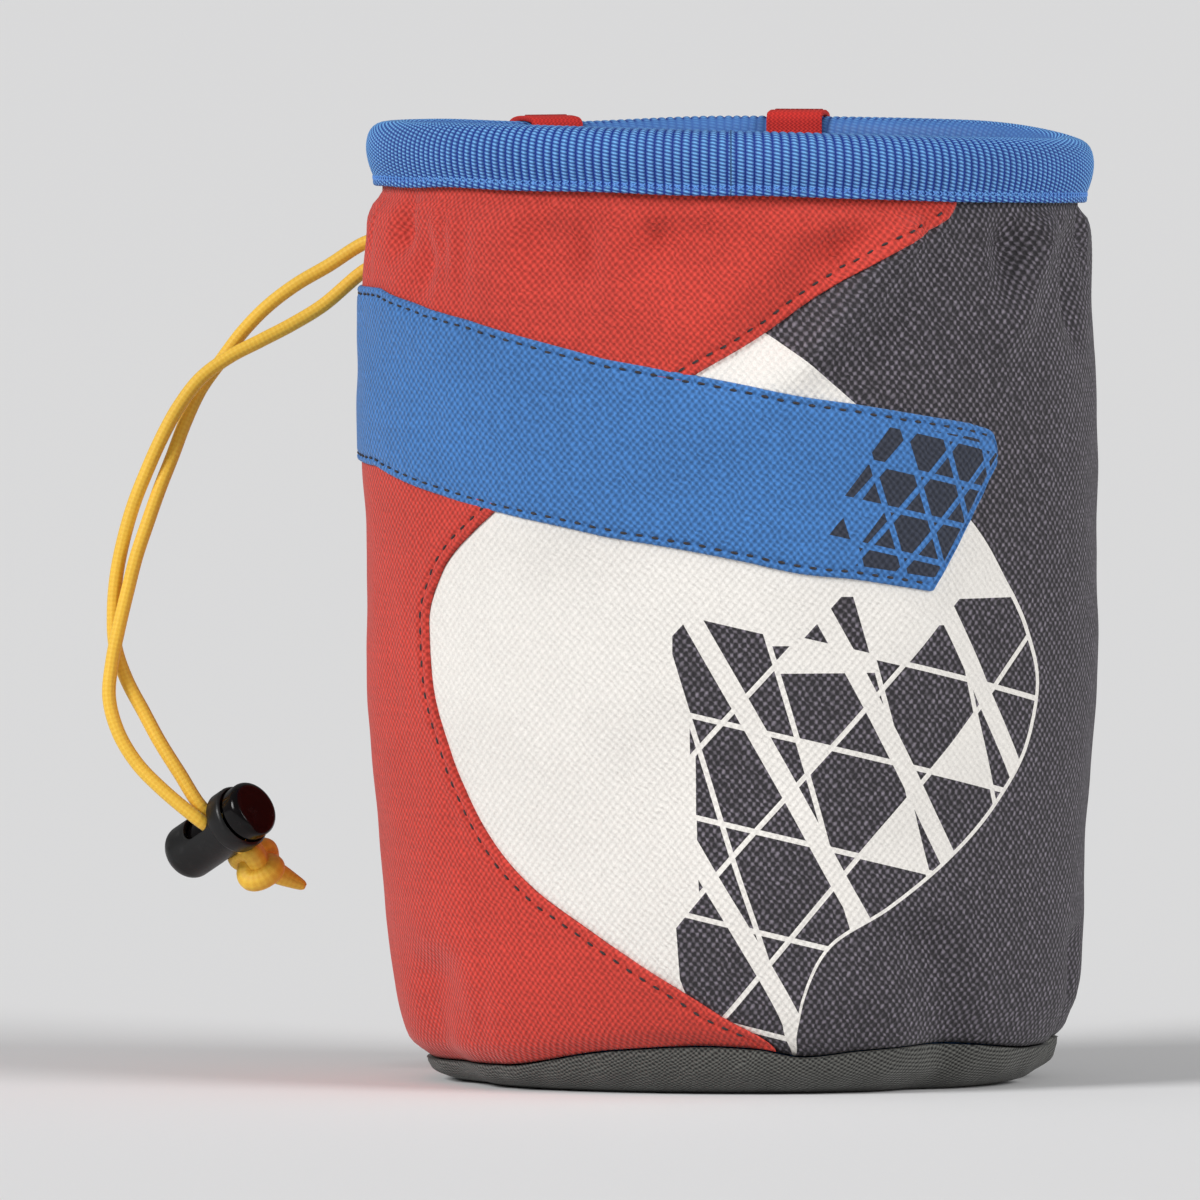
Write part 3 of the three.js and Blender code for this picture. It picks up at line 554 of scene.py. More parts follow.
def cloth_piece(name, outer, inner, around, material, replaces, layers):
    """A sheet with two faces and closed edges, from two grids of points."""
    columns, rows = outer.shape[:2]
    count = columns * rows
    quads = [grid_faces(columns, rows, around), grid_faces(columns, rows, around, count)[:, ::-1]]
    spans = columns if around else columns - 1
    c = np.arange(spans)
    n = (c + 1) % columns
    for row, turned in ((0, False), (rows - 1, True)):
        edge = np.stack([c * rows + row, c * rows + row + count,
                         n * rows + row + count, n * rows + row], -1)
        quads.append(edge[:, ::-1] if turned else edge)
    if not around:
        r = np.arange(rows - 1)
        for column, turned in ((0, False), (columns - 1, True)):
            at = column * rows + r
            edge = np.stack([at, at + 1, at + 1 + count, at + count], -1)
            quads.append(edge[:, ::-1] if turned else edge)
    points = np.concatenate([outer.reshape(-1, 3), inner.reshape(-1, 3)])
    doubled = {key: np.concatenate([v.reshape(count, -1)] * 2).squeeze() for key, v in layers.items()}
    return make_piece(name, points, np.concatenate(quads), material, replaces, layers=doubled)


def tube_faces(rings, sides, start=0):
    """Faces round a row of rings, and the two at its ends."""
    n = np.arange(sides)
    k = np.arange(rings - 1)[:, None] * sides + start
    m = (n + 1) % sides
    around = np.stack([k + n, k + m, k + m + sides, k + n + sides], -1).reshape(-1, 4)
    return around.tolist() + [(start + n[::-1]).tolist(), (start + n + (rings - 1) * sides).tolist()]


def tube(points, radii, relief, sides=24):
    """Points, faces and cloth places of a tube along a line of points."""
    points = np.asarray(points, float)
    along = headings(points)
    side = np.cross(along[0], (0.0, 0.0, 1.0))
    if np.linalg.norm(side) < 0.1:
        side = np.cross(along[0], (0.0, 1.0, 0.0))
    rings = []
    length = run_length(points)
    turns = np.arange(sides) * 2 * math.pi / sides
    for k, (point, forward) in enumerate(zip(points, along)):
        side = side - forward * np.dot(side, forward)
        side /= np.linalg.norm(side)
        other = np.cross(forward, side)
        radius = radii[k] + relief(turns, length[k])
        rings.append(point + np.outer(np.cos(turns) * radius, side)
                     + np.outer(np.sin(turns) * radius, other))
    cloth = np.stack([np.tile(turns, len(points)), np.repeat(length, sides),
                      np.zeros(len(points) * sides)], -1)
    return np.concatenate(rings), tube_faces(len(points), sides), cloth


def spline(points, spacing):
    """Centripetal curve through points, divided at an even spacing."""
    points = np.asarray(points, float)
    ends = np.concatenate([[2 * points[0] - points[1]], points, [2 * points[-1] - points[-2]]])
    result = []
    for a, b, c, d in zip(ends, ends[1:], ends[2:], ends[3:]):
        gaps = [max(np.linalg.norm(q - p), 1e-6) ** 0.5 for p, q in ((a, b), (b, c), (c, d))]
        knots = np.cumsum([0] + gaps)
        t = np.linspace(knots[1], knots[2], 24, endpoint=False)[:, None]
        t0, t1, t2, t3 = knots
        p1 = (t1 - t) / (t1 - t0) * a + (t - t0) / (t1 - t0) * b
        p2 = (t2 - t) / (t2 - t1) * b + (t - t1) / (t2 - t1) * c
        p3 = (t3 - t) / (t3 - t2) * c + (t - t2) / (t3 - t2) * d
        q1 = (t2 - t) / (t2 - t0) * p1 + (t - t0) / (t2 - t0) * p2
        q2 = (t3 - t) / (t3 - t1) * p2 + (t - t1) / (t3 - t1) * p3
        result.append((t2 - t) / (t2 - t1) * q1 + (t - t1) / (t2 - t1) * q2)
    fine = np.concatenate(result + [points[-1:]])
    length = run_length(fine)
    return at_length(np.linspace(0, length[-1], max(int(length[-1] / spacing), 2)), length, fine)


# Cords, with the lock's own axes: strands run along x, the button moves on z

lock_level = Matrix.Rotation(SLOT_TURN, 3, LOCK_AXIS) @ Vector((LOCK_AXIS.z, 0, -LOCK_AXIS.x)).normalized()
lock_turn = Matrix((lock_level, LOCK_AXIS.cross(lock_level), LOCK_AXIS)).transposed()
lock_matrix = Matrix.Translation(LOCK_PLACE) @ lock_turn.to_4x4()


def lock_point(along, across, height):
    return lock_matrix @ (Vector((along, across, height)) * MM)


def cord_material():
    shader = Shader("cord_braid", 0.6, Sheen_Weight=0.2, Sheen_Roughness=0.4)
    around, along, unused = shader.values()
    one = shader.sine(around * PLAIT_STRANDS + along * PLAIT_RATE)
    two = shader.sine(around * PLAIT_STRANDS - along * PLAIT_RATE)
    plait = one * two * 0.5 + 0.5
    fibre = shader.noise(5200)
    level = shader.span(plait, 0, 1, 0.97, 1.02) * shader.even(fibre, 0.94, 1.05)
    level *= shader.even(shader.noise(90, 3.0), 0.93, 1.04)
    colour = shader.mix(shader.span(plait, 0.1, 0.9), linear(238, 184, 52), linear(242, 196, 64))
    return shader.finish(colour, level, None, shader.bump(fibre * 0.3 + plait, 0.00003))


def braid_relief(turns, along):
    one = np.sin(PLAIT_STRANDS * turns + PLAIT_RATE * along)
    return PLAIT_RELIEF * one * np.sin(PLAIT_STRANDS * turns - PLAIT_RATE * along)


CORD_MATERIAL = cord_material()
cords = {}
for name, side in (("upper", -1), ("lower", 1)):
    points = [Vector(p) for p in ROUTES[name]]
    points += [lock_point(along, side * STRAND_SPACING / 2, -STRAND_DROP)
               for along in (-BARREL_RADIUS, 0, BARREL_RADIUS + 0.1)]
    line = spline([tuple(p) for p in points], 0.0003) / MM
    shape, faces, cloth = tube(line, np.full(len(line), CORD / 2 - 0.03), braid_relief)
    cord = make_piece("strand_" + name, shape, faces, CORD_MATERIAL, ["cord_" + name],
                      layers={"cloth": cloth})
    cords[name] = (cord, line, float(run_length(line)[-1] * MM))


# Wall panels

WEAVE = (1.42, 1.62)
wall_rises = np.concatenate([[0, 0.003, 0.008, TUCK_RISE], np.linspace(0.02, 0.94, 132), [0.955, 1.0]])


def tuck(rise):
    """The bottom edge of the wall turned in towards the seam."""
    return -TUCK_DEPTH * (1 - np.clip(rise / TUCK_RISE, 0, 1)) ** 2


def edge_slope_factor():
    """How much wider a distance square to the red edge is when measured level."""
    rows = np.linspace(0, 1, 400)
    arc = arc_at(curve(RED_EDGE, rows))
    slope = np.gradient(arc, rows * (FRONT_HEIGHT - TAPE_CROWN))
    slope = np.convolve(np.pad(slope, 6, mode="edge"), np.ones(13) / 13, mode="valid")
    return np.interp(wall_rises, rows, np.sqrt(1 + slope**2))


red_edge = curve(RED_EDGE, wall_rises)
widening = edge_slope_factor() * angle_per_mm(red_edge)
# Distances from the red edge into the panel, and how far its turned hem stands up there
red_inside = np.array([5.5, 4.2, 3.2, 2.6, 2.15, 1.8, 1.45, 1.0, 0.6, 0.3, 0.1, 0.0])
red_raise = np.array([0.28, 0.36, 0.5, 0.55, 0.42, 0.22, 0.42, 0.56, 0.52, 0.42, 0.25, -0.25])


def side_angles():
    main = np.linspace(0, 1, 150)[:, None]
    last = red_edge - 6.8 * widening
    columns = (BACK_SEAM + 0.3) + (last - BACK_SEAM - 0.3) * main
    return np.concatenate([columns, red_edge - red_inside[:, None] * widening])


def panel_grids(angles, seam, lift, thin=0.0):
    """Outer face, inner face, place on the cloth and smooth face of a wall panel."""
    rises = np.broadcast_to(wall_rises, angles.shape)
    smooth = smooth_wall(angles, rises)
    swell = slack_cloth(smooth) * step((GATHER_TOP - rises) / SLACK_FADE)
    dip = SEAM_DIP * np.exp(-((arc_at(angles) - arc_at(seam)) / SEAM_REACH) ** 2)
    outer = wall(angles, rises, lift - dip + tuck(rises) + swell)
    inner = wall(angles, rises, -CLOTH + thin + np.minimum(swell, 0))
    cloth = np.stack([arc_at(angles), smooth[..., 2], np.zeros(angles.shape)], -1)
    return outer, inner, cloth, smooth


def red_material():
    shader = Shader("red_cloth", 0.85, Sheen_Weight=0.15, Sheen_Roughness=0.5)
    across, up, unused = shader.values()
    # (0.6, 1.18) gives painted shade in the weave's gaps and painted highlights on its crossings
    return cloth_finish(shader, linear(203, 56, 42), (1.2, 1.3), (0.6, 1.18), 0.00018, across, up)


angles = side_angles()
inside_mm = (red_edge - angles) / widening
lift = np.zeros(angles.shape)
lift[-len(red_raise):] = red_raise[:, None]
lift[:-len(red_raise)] = red_raise[0] * step(1 - (inside_mm[:-len(red_raise)] - red_inside[0]) / 8)
thin = 1.3 * step(1 - (inside_mm - 0.5) / 6)
outer, inner, cloth, smooth_points = panel_grids(angles, BACK_SEAM, lift, thin)
side_piece = cloth_piece("red_side", outer, inner, False, red_material(),
                         ["side_panel"], {"cloth": cloth})
SHEETS = {}


def note_sheet(piece, grid, width, height, held="stretched"):
    """Keep a panel's smooth face and the size it was cut to, in millimetres."""
    SHEETS[piece.name] = (piece, grid, float(width), float(height), held)


PANEL_HEIGHT = RIM_HEIGHT - TAPE_CROWN - CLEARANCE
note_sheet(side_piece, smooth_points, np.ptp(cloth[..., 0]), PANEL_HEIGHT)


def signed_distance(x, y, outline):
    """Distance to a closed outline in the plane, positive inside."""
    best = np.full(x.shape, 1e9)
    inside = np.zeros(x.shape, bool)
    for (x0, y0), (x1, y1) in zip(outline, np.roll(outline, -1, axis=0)):
        dx, dy = x1 - x0, y1 - y0
        t = np.clip(((x - x0) * dx + (y - y0) * dy) / max(dx * dx + dy * dy, 1e-9), 0, 1)
        best = np.minimum(best, np.hypot(x - x0 - t * dx, y - y0 - t * dy))
        if y1 != y0:
            crossing = (y0 > y) != (y1 > y)
            inside ^= crossing & (x < (x1 - x0) * (y - y0) / (y1 - y0) + x0)
    return np.where(inside, best, -best)


def flat_place(angle, rise):
    """Place on the cloth laid flat: distance along it and height, in millimetres."""
    low = seam_at(angle)
    return np.stack([arc_at(angle), low + (wall_top_at(angle) - low) * rise], -1)


def pale_outline():
    lines = []
    for stretch in (PALE_SHOULDER, PALE_BELLY):
        flat = np.array([flat_place(a, r) for r, a in stretch])
        lines.append(spline(np.column_stack([flat, np.zeros(len(flat))]), 1.5)[:, :2])
    hidden = [flat_place(a - 9, r) for r, a in RED_EDGE if r < 0.79]
    return np.concatenate(lines + [np.array(hidden)])


# The charcoal cloth starts under the red hem, with narrow columns up to the hem's edge
start = red_edge - 6.0 * widening
near = np.array([0.0, 2.0, 4.0, 5.2, 6.0, 6.7, 7.6, 9.0])[:, None]
far = np.linspace(0, 1, 236)[:, None]
begin = red_edge + 4.2 * widening
angles = np.concatenate([start + near * widening, begin + (BACK_SEAM + 359.7 - begin) * far])
beyond = (angles - red_edge) / widening
lift = -0.45 * step(1 - (beyond + 0.4) / 1.2)
outer, inner, cloth, smooth_points = panel_grids(angles, BACK_SEAM + 360, lift)
pale = signed_distance(cloth[..., 0], cloth[..., 1], pale_outline())


def tile_pattern(shader, across, up, side, line):
    """Triangle lattice: 1 on a tile, 0 on the lines, and a fixed random number for each tile."""
    height = side * math.sqrt(3) / 2
    cell = []
    gap = 1.0
    for turn in map(math.radians, (17, 77, 137)):
        level = across * (math.cos(turn) / height) + up * (math.sin(turn) / height) + 0.31
        cell.append(shader.math("FLOOR", level))
        part = shader.math("FRACT", level)
        gap = shader.math("MINIMUM", gap, shader.math("MINIMUM", part, 1.0 - part))
    random = shader.node("TexWhiteNoise", {"Vector": shader.join(*cell)}, "Value")
    return gap.above(line / 2 / height), random


def charcoal_material():
    shader = Shader("printed_cloth", 0.85, Sheen_Weight=0.1, Sheen_Roughness=0.5)
    across, up, unused = shader.values()
    inside = shader.node("Attribute", {}, "Fac", layer="pale")
    on_tile, random = tile_pattern(shader, across, up, 19.0, 0.9)
    bar = shader.math("FRACT", across * 0.0443 + up * 0.0256 + 0.35)
    sideways = shader.span(across, -14.0, -5.0, -0.25, 1.0)
    dark_share = shader.math("MINIMUM", sideways, shader.span(up, 84.0, 68.0)) * 0.87
    dark = on_tile * dark_share.above(random) * bar.above(0.17)
    dark *= inside.above(shader.span(up, 12.0, 60.0, 0.45, 0.85))
    pale_here = inside.above(0.0) * (1.0 - dark)

    def either(on_charcoal, on_pale):
        return shader.span(pale_here, 0, 1, on_charcoal, on_pale)

    weave = weave_height(shader, across, up, WEAVE)
    fuzz = shader.noise(FUZZ_SCALE)
    # The weave's level runs from painted shade in its gaps (low) to painted highlights on its crossings
    # (high), far stronger on the charcoal than on the pale print; the patchy noise varies those highlights
    # at random
    patchy = shader.span(shader.noise(800), 0.35, 0.65, either(0.55, 0.98), either(1.25, 1.02))
    low = either(0.42, 0.88)
    high = either(4.2, 1.0) * patchy
    level = low + (high - low) * shader.span(weave, either(0.42, 0.1), 1.0)
    level *= shader.even(shader.noise(35, 3.0), 0.96, 1.04) * shader.even(fuzz, 0.92, 1.08)
    colour = shader.mix(pale_here, linear(60, 56, 62), linear(237, 233, 227))
    roughness = shader.span(weave, 0.0, 1.0, 0.95, 0.7)
    return shader.finish(colour, level, roughness, shader.bump(fuzz * FUZZ_SHARE + weave, 0.00018))


body_piece = cloth_piece("printed_body", outer, inner, False, charcoal_material(),
                         ["body_panel"], {"cloth": cloth, "pale": pale})
note_sheet(body_piece, smooth_points, np.ptp(cloth[..., 0]), PANEL_HEIGHT)


# Band

angles = np.arange(BAND[0, 0], BAND[-1, 0] - 0.4, 0.7)
angles = np.concatenate([angles, BAND[-1, 0] - np.array([0.35, 0.15, 0.0])])
low = straight(BAND, angles, 1)
high = straight(BAND, angles, 2)
height_mm = (high - low) * FRONT_HEIGHT
# Distances from the band's long edges, and the share of its lift there
edge_mm = np.array([0.0, 0.12, 0.35, 0.7, 1.0, 1.25, 1.5, 2.0, 2.8, 3.8])
edge_rise = np.array([0.15, 0.5, 0.72, 0.8, 0.66, 0.42, 0.66, 0.86, 0.95, 1.0])
middle = np.linspace(0, 1, 24)[1:-1]


def band_rows():
    """Shares of the band's height with their lifts: its hem, its middle and its other hem."""
    hem = np.minimum(edge_mm[:, None], 0.45 * height_mm) / height_mm
    inside = hem[-1] + (1 - 2 * hem[-1]) * middle[:, None]
    lifts = np.concatenate([edge_rise, np.ones(len(middle)), edge_rise[::-1]])
    rows = np.concatenate([hem, inside, 1 - hem[::-1]])
    return rows.T, np.broadcast_to(lifts, rows.T.shape)


share, lifts = band_rows()
grid_angles = np.broadcast_to(angles[:, None], share.shape)
rises = low[:, None] + (high - low)[:, None] * share
to_end = np.minimum((BAND[-1, 0] - grid_angles) / angle_per_mm(grid_angles), 3)
end_round = np.interp(to_end, [0, 0.15, 0.5, 1.2], [0.15, 0.55, 0.85, 1.0])
smooth_points = smooth_wall(grid_angles, rises)
swell = slack_cloth(smooth_points, 0.3)
along = arc_at(grid_angles)
near_edge = np.minimum(share, 1 - share) * height_mm[:, None]
pucker = -0.09 * np.cos(2 * np.pi * along / STITCH_PITCH) * np.exp(-((near_edge - 1.2) / 1.3) ** 2)
outer = wall(grid_angles, rises, 0.15 + 0.75 * lifts * end_round + swell + pucker)
inner = wall(grid_angles, rises, 0.1 + swell)
cloth = np.stack([along, smooth_points[..., 2], near_edge], -1)


def band_material():
    shader = Shader("blue_cloth", 0.85, Sheen_Weight=0.15, Sheen_Roughness=0.5)
    across, up, edge = shader.values()
    on_tile, random = tile_pattern(shader, across, up, 8.0, 1.0)
    lean = (across - 9.0) - (up - 87.0) * 0.78
    motif = on_tile * shader.span(lean, -2.0, 8.0, 0.0, 0.9).above(random) * edge.above(2.4)
    colour = shader.mix(motif, linear(58, 117, 184), linear(40, 46, 62))
    # (0.6, 1.25) gives painted shade in the weave's gaps and painted highlights on its crossings
    return cloth_finish(shader, colour, (1.3, 1.45), (0.6, 1.25), 0.00024, across, up)


band_piece = cloth_piece("sewn_band", outer, inner, False, band_material(),
                         ["blue_band"], {"cloth": cloth})
note_sheet(band_piece, smooth_points, np.ptp(cloth[..., 0]), np.ptp(cloth[..., 1]))


# Bottom dish

angles = np.arange(0, 360, 1.0)
reaches = np.concatenate([np.linspace(0, 0.78, 14), np.linspace(0.8, 0.985, 34), [0.992, 0.998, 1.002, 1.0]])
seam_edge = wall(angles, 0.0)
top = seam_edge[:, 2] - CLEARANCE
lift = curve(DISH, np.minimum(reaches, 1.0), 1)
upright = curve(DISH, np.minimum(reaches, 1.0), 2)
angle_grid, reach_grid = np.meshgrid(angles, reaches, indexing="ij")
points = np.stack([seam_edge[:, 0, None] * reach_grid, seam_edge[:, 1, None] * reach_grid,
                   lift * top[:, None]], -1)
distance = np.linalg.norm(seam_edge[:, :2], axis=1)
radial = seam_edge[:, :2] / distance[:, None]
band_of_dish = np.exp(-((reach_grid - 0.955) / 0.025) ** 2)
ripples = np.cos(np.radians(angle_grid * 38 + 70 * np.sin(np.radians(3 * angle_grid))))
waves = band_of_dish * (undulation(points, 11, 0.7) + 0.2 + 0.22 * ripples)
tucked = -0.6 * step((reach_grid - 0.985) / 0.015)
points[..., :2] += radial[:, None] * (waves + tucked)[..., None]
under = points.copy()
under[..., :2] -= radial[:, None] * (upright * CLOTH)[:, None]
under[..., 2] += (1 - upright) * CLOTH


def base_material():
    shader = Shader("base_cloth", 0.9, Sheen_Weight=0.1, Sheen_Roughness=0.5)
    x, y, z = shader.values()
    # (0.15, 2.9) gives deep painted shade in the weave's gaps and strong painted highlights on its crossings
    return cloth_finish(shader, linear(58, 58, 55), (1.05, 1.2), (0.15, 2.9), 0.0002, x, y - z * 1.4)


base_piece = cloth_piece("bottom_dish", points, under, True, base_material(),
                         ["base_panel"], {"cloth": points})
note_sheet(base_piece, points, *(np.ptp(seam_edge[:, :2], axis=0) + SEAM_HEIGHT))


# Lining

angles = np.arange(0, 360, 1.5)
side_rises = np.concatenate([[1.0, 0.97, GATHER_TOP], np.linspace(0.93, 0.045, 74)])
loose = step((GATHER_TOP - side_rises) / 0.055)
angle_grid, rise_grid = np.meshgrid(angles, side_rises, indexing="ij")
gathers = np.cos(np.radians(angle_grid * 90 + 60 * np.sin(np.radians(7 * angle_grid))))
gathers = 0.35 * gathers * step((rise_grid - 0.78) / 0.15) * step((0.95 - rise_grid) / 0.02)
side_points = smooth_wall(angle_grid, rise_grid)
slack = (undulation(side_points, 14, 1.7) + undulation(side_points, 5, 0.4)) * loose[None]
inset = LINING_LOOSENESS * loose[None] + np.maximum(slack + gathers, -LINING_LOOSENESS / 2)
# The lining gives way to the wall's folds, with a little room
inset = LINING_INSET + np.maximum(inset, 1.15 * fold_depth(angle_grid, rise_grid) + 0.25)
side_wall = wall(angle_grid, rise_grid, -inset, False)
# Share of the way out to the lining's lower edge, and share of that edge's height above the floor
floor_rows = [(0.985, 0.8), (0.96, 0.62), (0.94, 0.5), (0.9, 0.32), (0.85, 0.2), (0.8, 0.12), (0.7, 0.06),
              (0.55, 0.02), (0.4, 0.0), (0.25, 0.0), (0.12, 0.0), (0.0, 0.0)]
FLOOR_LEVEL = 3.9
edge = side_wall[:, -1]
reach, share = np.array(floor_rows).T
floor = np.stack([np.outer(edge[:, 0], reach), np.outer(edge[:, 1], reach),
                  FLOOR_LEVEL + np.outer(edge[:, 2] - FLOOR_LEVEL, share)], -1)
floor[..., 2] += undulation(floor, 18, 0.8) * (1 - share)[None]
cup_out = np.concatenate([side_wall, floor], 1)
shift = np.concatenate([-outward_at(angle_grid, rise_grid), np.zeros(floor.shape)], 1)
shift[:, side_wall.shape[1]:, 2] = 1.0
cup_in = cup_out + shift


def lining_material():
    shader = Shader("lining_cloth", 0.5, Sheen_Weight=0.2, Sheen_Roughness=0.4)
    ripstop = shader.noise(900)
    cloudy = shader.noise(30, 3.0)
    dusty = shader.span(shader.noise(60, 4.0), 0.5, 0.8, 0.0, 0.35)
    colour = shader.mix(dusty, linear(64, 128, 205), linear(120, 160, 205))
    level = shader.even(ripstop, 0.92, 1.06) * shader.even(cloudy, 0.92, 1.06)
    relief = shader.bump(shader.noise(4200) * 0.4 + ripstop, 0.00008)
    return shader.finish(colour, level, shader.even(cloudy, 0.5, 0.65), relief)


lining_piece = cloth_piece("inner_lining", cup_out, cup_in, True, lining_material(),
                           ["lining"], {})
LINING_ROUND = math.pi * (BAG_WIDTH + BAG_DEPTH) / 2
note_sheet(lining_piece, cup_out, LINING_ROUND, RIM_HEIGHT + BAG_DEPTH / 4, "hung")


# Rim tape

RIBS = 250
RIB_COLUMNS = 6
RIB_HEIGHT = 0.32
HEM_DROP = 9.2
# Stand-off from the wall and drop from the rim, from the outer hem over the crown to the inner one
TAPE_OUTLINE = np.array([
    (0.35, -10.4), (1.2, -10.6), (1.5, -10.45), (1.62, -10.1), (1.6, -9.6), (1.55, -9.2), (1.65, -8.8),
    (1.95, -8.1), (2.25, -7.3), (2.5, -6.5), (2.7, -5.6), (2.82, -4.7), (2.85, -3.8), (2.75, -2.9),
    (2.55, -2.1), (2.2, -1.35), (1.7, -0.75), (1.05, -0.3), (0.3, -0.03), (-0.7, 0.12), (-1.7, 0.15),
    (-2.7, 0.05), (-3.5, -0.25), (-4.15, -0.8), (-4.55, -1.5), (-4.75, -2.4), (-4.85, -3.6),
    (-4.85, -4.8), (-4.85, -6.0), (-4.85, -7.2), (-4.8, -8.1), (-4.5, -8.5), (-3.6, -8.5),
    (-3.5, -2.2), (0.3, -2.2),
])
INNER_FACE_FROM = 22
INNER_RELIEF = 0.2


def hem_wander(turn):
    """Slow random wander of the tape's hem round the rim."""
    return noise.noise(Vector((math.cos(turn) * 3, math.sin(turn) * 3, 4.0)))


def build_tape():
    columns = RIBS * RIB_COLUMNS
    angle = np.arange(columns) * 360 / columns
    loops = len(TAPE_OUTLINE)
    length = run_length(TAPE_OUTLINE)
    tangent = np.roll(TAPE_OUTLINE, -1, 0) - np.roll(TAPE_OUTLINE, 1, 0)
    normal = np.stack([tangent[:, 1], -tangent[:, 0]], -1)
    normal /= np.linalg.norm(normal, axis=1, keepdims=True)
    a, n = np.meshgrid(angle, np.arange(loops), indexing="ij")
    drop = TAPE_OUTLINE[n, 1]
    lean = 2.2 * np.sin(np.radians(a)) ** 3 * (drop / TAPE_DROP)
    phase = (a + lean) * RIBS / 360
    shown = np.ones(loops)
    shown[[0, -1, -2, -3]] = 0
    shown[INNER_FACE_FROM:-3] = INNER_RELIEF
    flat_hem = step((drop + HEM_DROP) / 0.6)
    rib = RIB_HEIGHT * (np.abs(np.cos(np.pi * phase)) ** 0.8 - 0.6) * shown[n] * (0.3 + 0.7 * flat_hem)
    wander = np.array([hem_wander(turn) for turn in np.radians(angle)])
    hem_wave = 0.35 * wander[:, None] * step((-drop - 7) / 4)
    swelling = 0.25 * wander[:, None] * np.sin(np.pi * np.clip(-drop / TAPE_DROP, 0, 1))
    offset = TAPE_OUTLINE[n, 0] + normal[n, 0] * rib + swelling * shown[n]
    height = rim_at(a) + drop + normal[n, 1] * rib + hem_wave
    rise = rise_at(a, rim_at(a) + drop)
    points = smooth_wall(a, rise) + outward_at(a, rise) * offset[..., None]
    points[..., 2] = height
    cloth = np.stack([phase, length[n], shown[n]], -1)
    k, c = np.meshgrid(np.arange(loops), np.arange(columns), indexing="ij")
    after_k, after_c = (k + 1) % loops, (c + 1) % columns
    quads = np.stack([c * loops + k, after_c * loops + k, after_c * loops + after_k,
                      c * loops + after_k], -1)
    return points.reshape(-1, 3), quads.reshape(-1, 4), cloth.reshape(-1, 3)


def tape_material():
    shader = Shader("rim_tape", 0.5, Specular_IOR_Level=0.4)
    phase, along, shown = shader.values("tape")
    rib = shader.math("ABSOLUTE", shader.math("COSINE", phase * math.pi))
    beads = shader.sine(along * (2 * math.pi / 0.62) + phase * math.pi) * 0.5 + 0.5
    tooth = rib * (beads * 0.8 + 0.2)
    fine = shader.noise(3500)
    # The share runs from the dark blue between the beads, painted shade, to the pale blue on the beads,
    # painted highlight; on the inner face, with its small shown share, the mix stays flat near 0.3 without
    # them
    light = shader.span(tooth, 0.12, 0.9) * shown + (1.0 - shown) * 0.3
    colour = shader.mix(light, linear(4, 46, 136), linear(118, 184, 242))
    level = shader.even(shader.noise(60, 3.0), 0.94, 1.05) * shader.even(fine, 0.94, 1.06)
    relief = shader.bump((fine * 0.15 + tooth) * shown, 0.00022)
    return shader.finish(colour, level, shader.span(light, 0, 1, 0.7, 0.42), relief)


points, faces, cloth = build_tape()
make_piece("rim_tape_ribbed", points, faces, tape_material(), ["rim_binding"],
           layers={"tape": cloth})


# Belt loops

def webbing_material():
    shader = Shader("webbing", 0.8, Specular_IOR_Level=0.3)
    across, along, edge = shader.values()
    cross = shader.sine(along * (2 * math.pi / 0.6))
    twill = shader.sine(across * (2 * math.pi / 0.75) + cross * 0.8)
    height = cross * twill * 0.5 + 0.5
    fine = shader.noise(4000)
    level = shader.span(height, 0, 1, 0.86, 1.06) * shader.even(fine, 0.93, 1.07)
    level *= shader.even(shader.noise(80, 3.0), 0.93, 1.05)
    colour = shader.mix(shader.span(height, 0.2, 0.9), linear(182, 36, 32), linear(208, 50, 42))
    return shader.finish(colour, level, None, shader.bump(fine * 0.2 + height, 0.0001))


def loop_path(angle):
    """The belt loop's middle line in an upright plane: stand-off from the wall, and height."""
    rim = float(rim_at(angle))
    origin = smooth_wall(angle, 1.0)
    outward = outward_at(np.float64(angle), 1.0)
    half = WEBBING / 2
    inner_face = -(CLOTH + CLEARANCE + 1.0 + 0.7 + 1.3) - 0.5
    path = [(inner_face - half, rim - 9.0), (inner_face - half, rim - 2.0),
            (inner_face - half + 0.4, rim + 0.3), (inner_face + 1.6, rim + 0.3 + half),
            (0.4, rim + 0.3 + half), (2.8, rim)]
    for drop, gap in LOOP:
        height = rim - drop * LOOP_LENGTH
        at = wall(angle, rise_at(angle, height)) - origin
        face = max(at[0] * outward[0] + at[1] * outward[1], 2.5 if rim - height < 11.3 else 0)
        path.append((face + 0.5 + half + gap * BELT_GAP, height))
    line = spline(np.column_stack([path, np.zeros(len(path))]), 0.5)[:, :2]
    return line, origin, outward


def write_turned_out(solid, mesh):
    """Write a closed form to a mesh with its faces turned outwards."""
    bmesh.ops.recalc_face_normals(solid, faces=solid.faces)
    solid.to_mesh(mesh)
    solid.free()
    return mesh


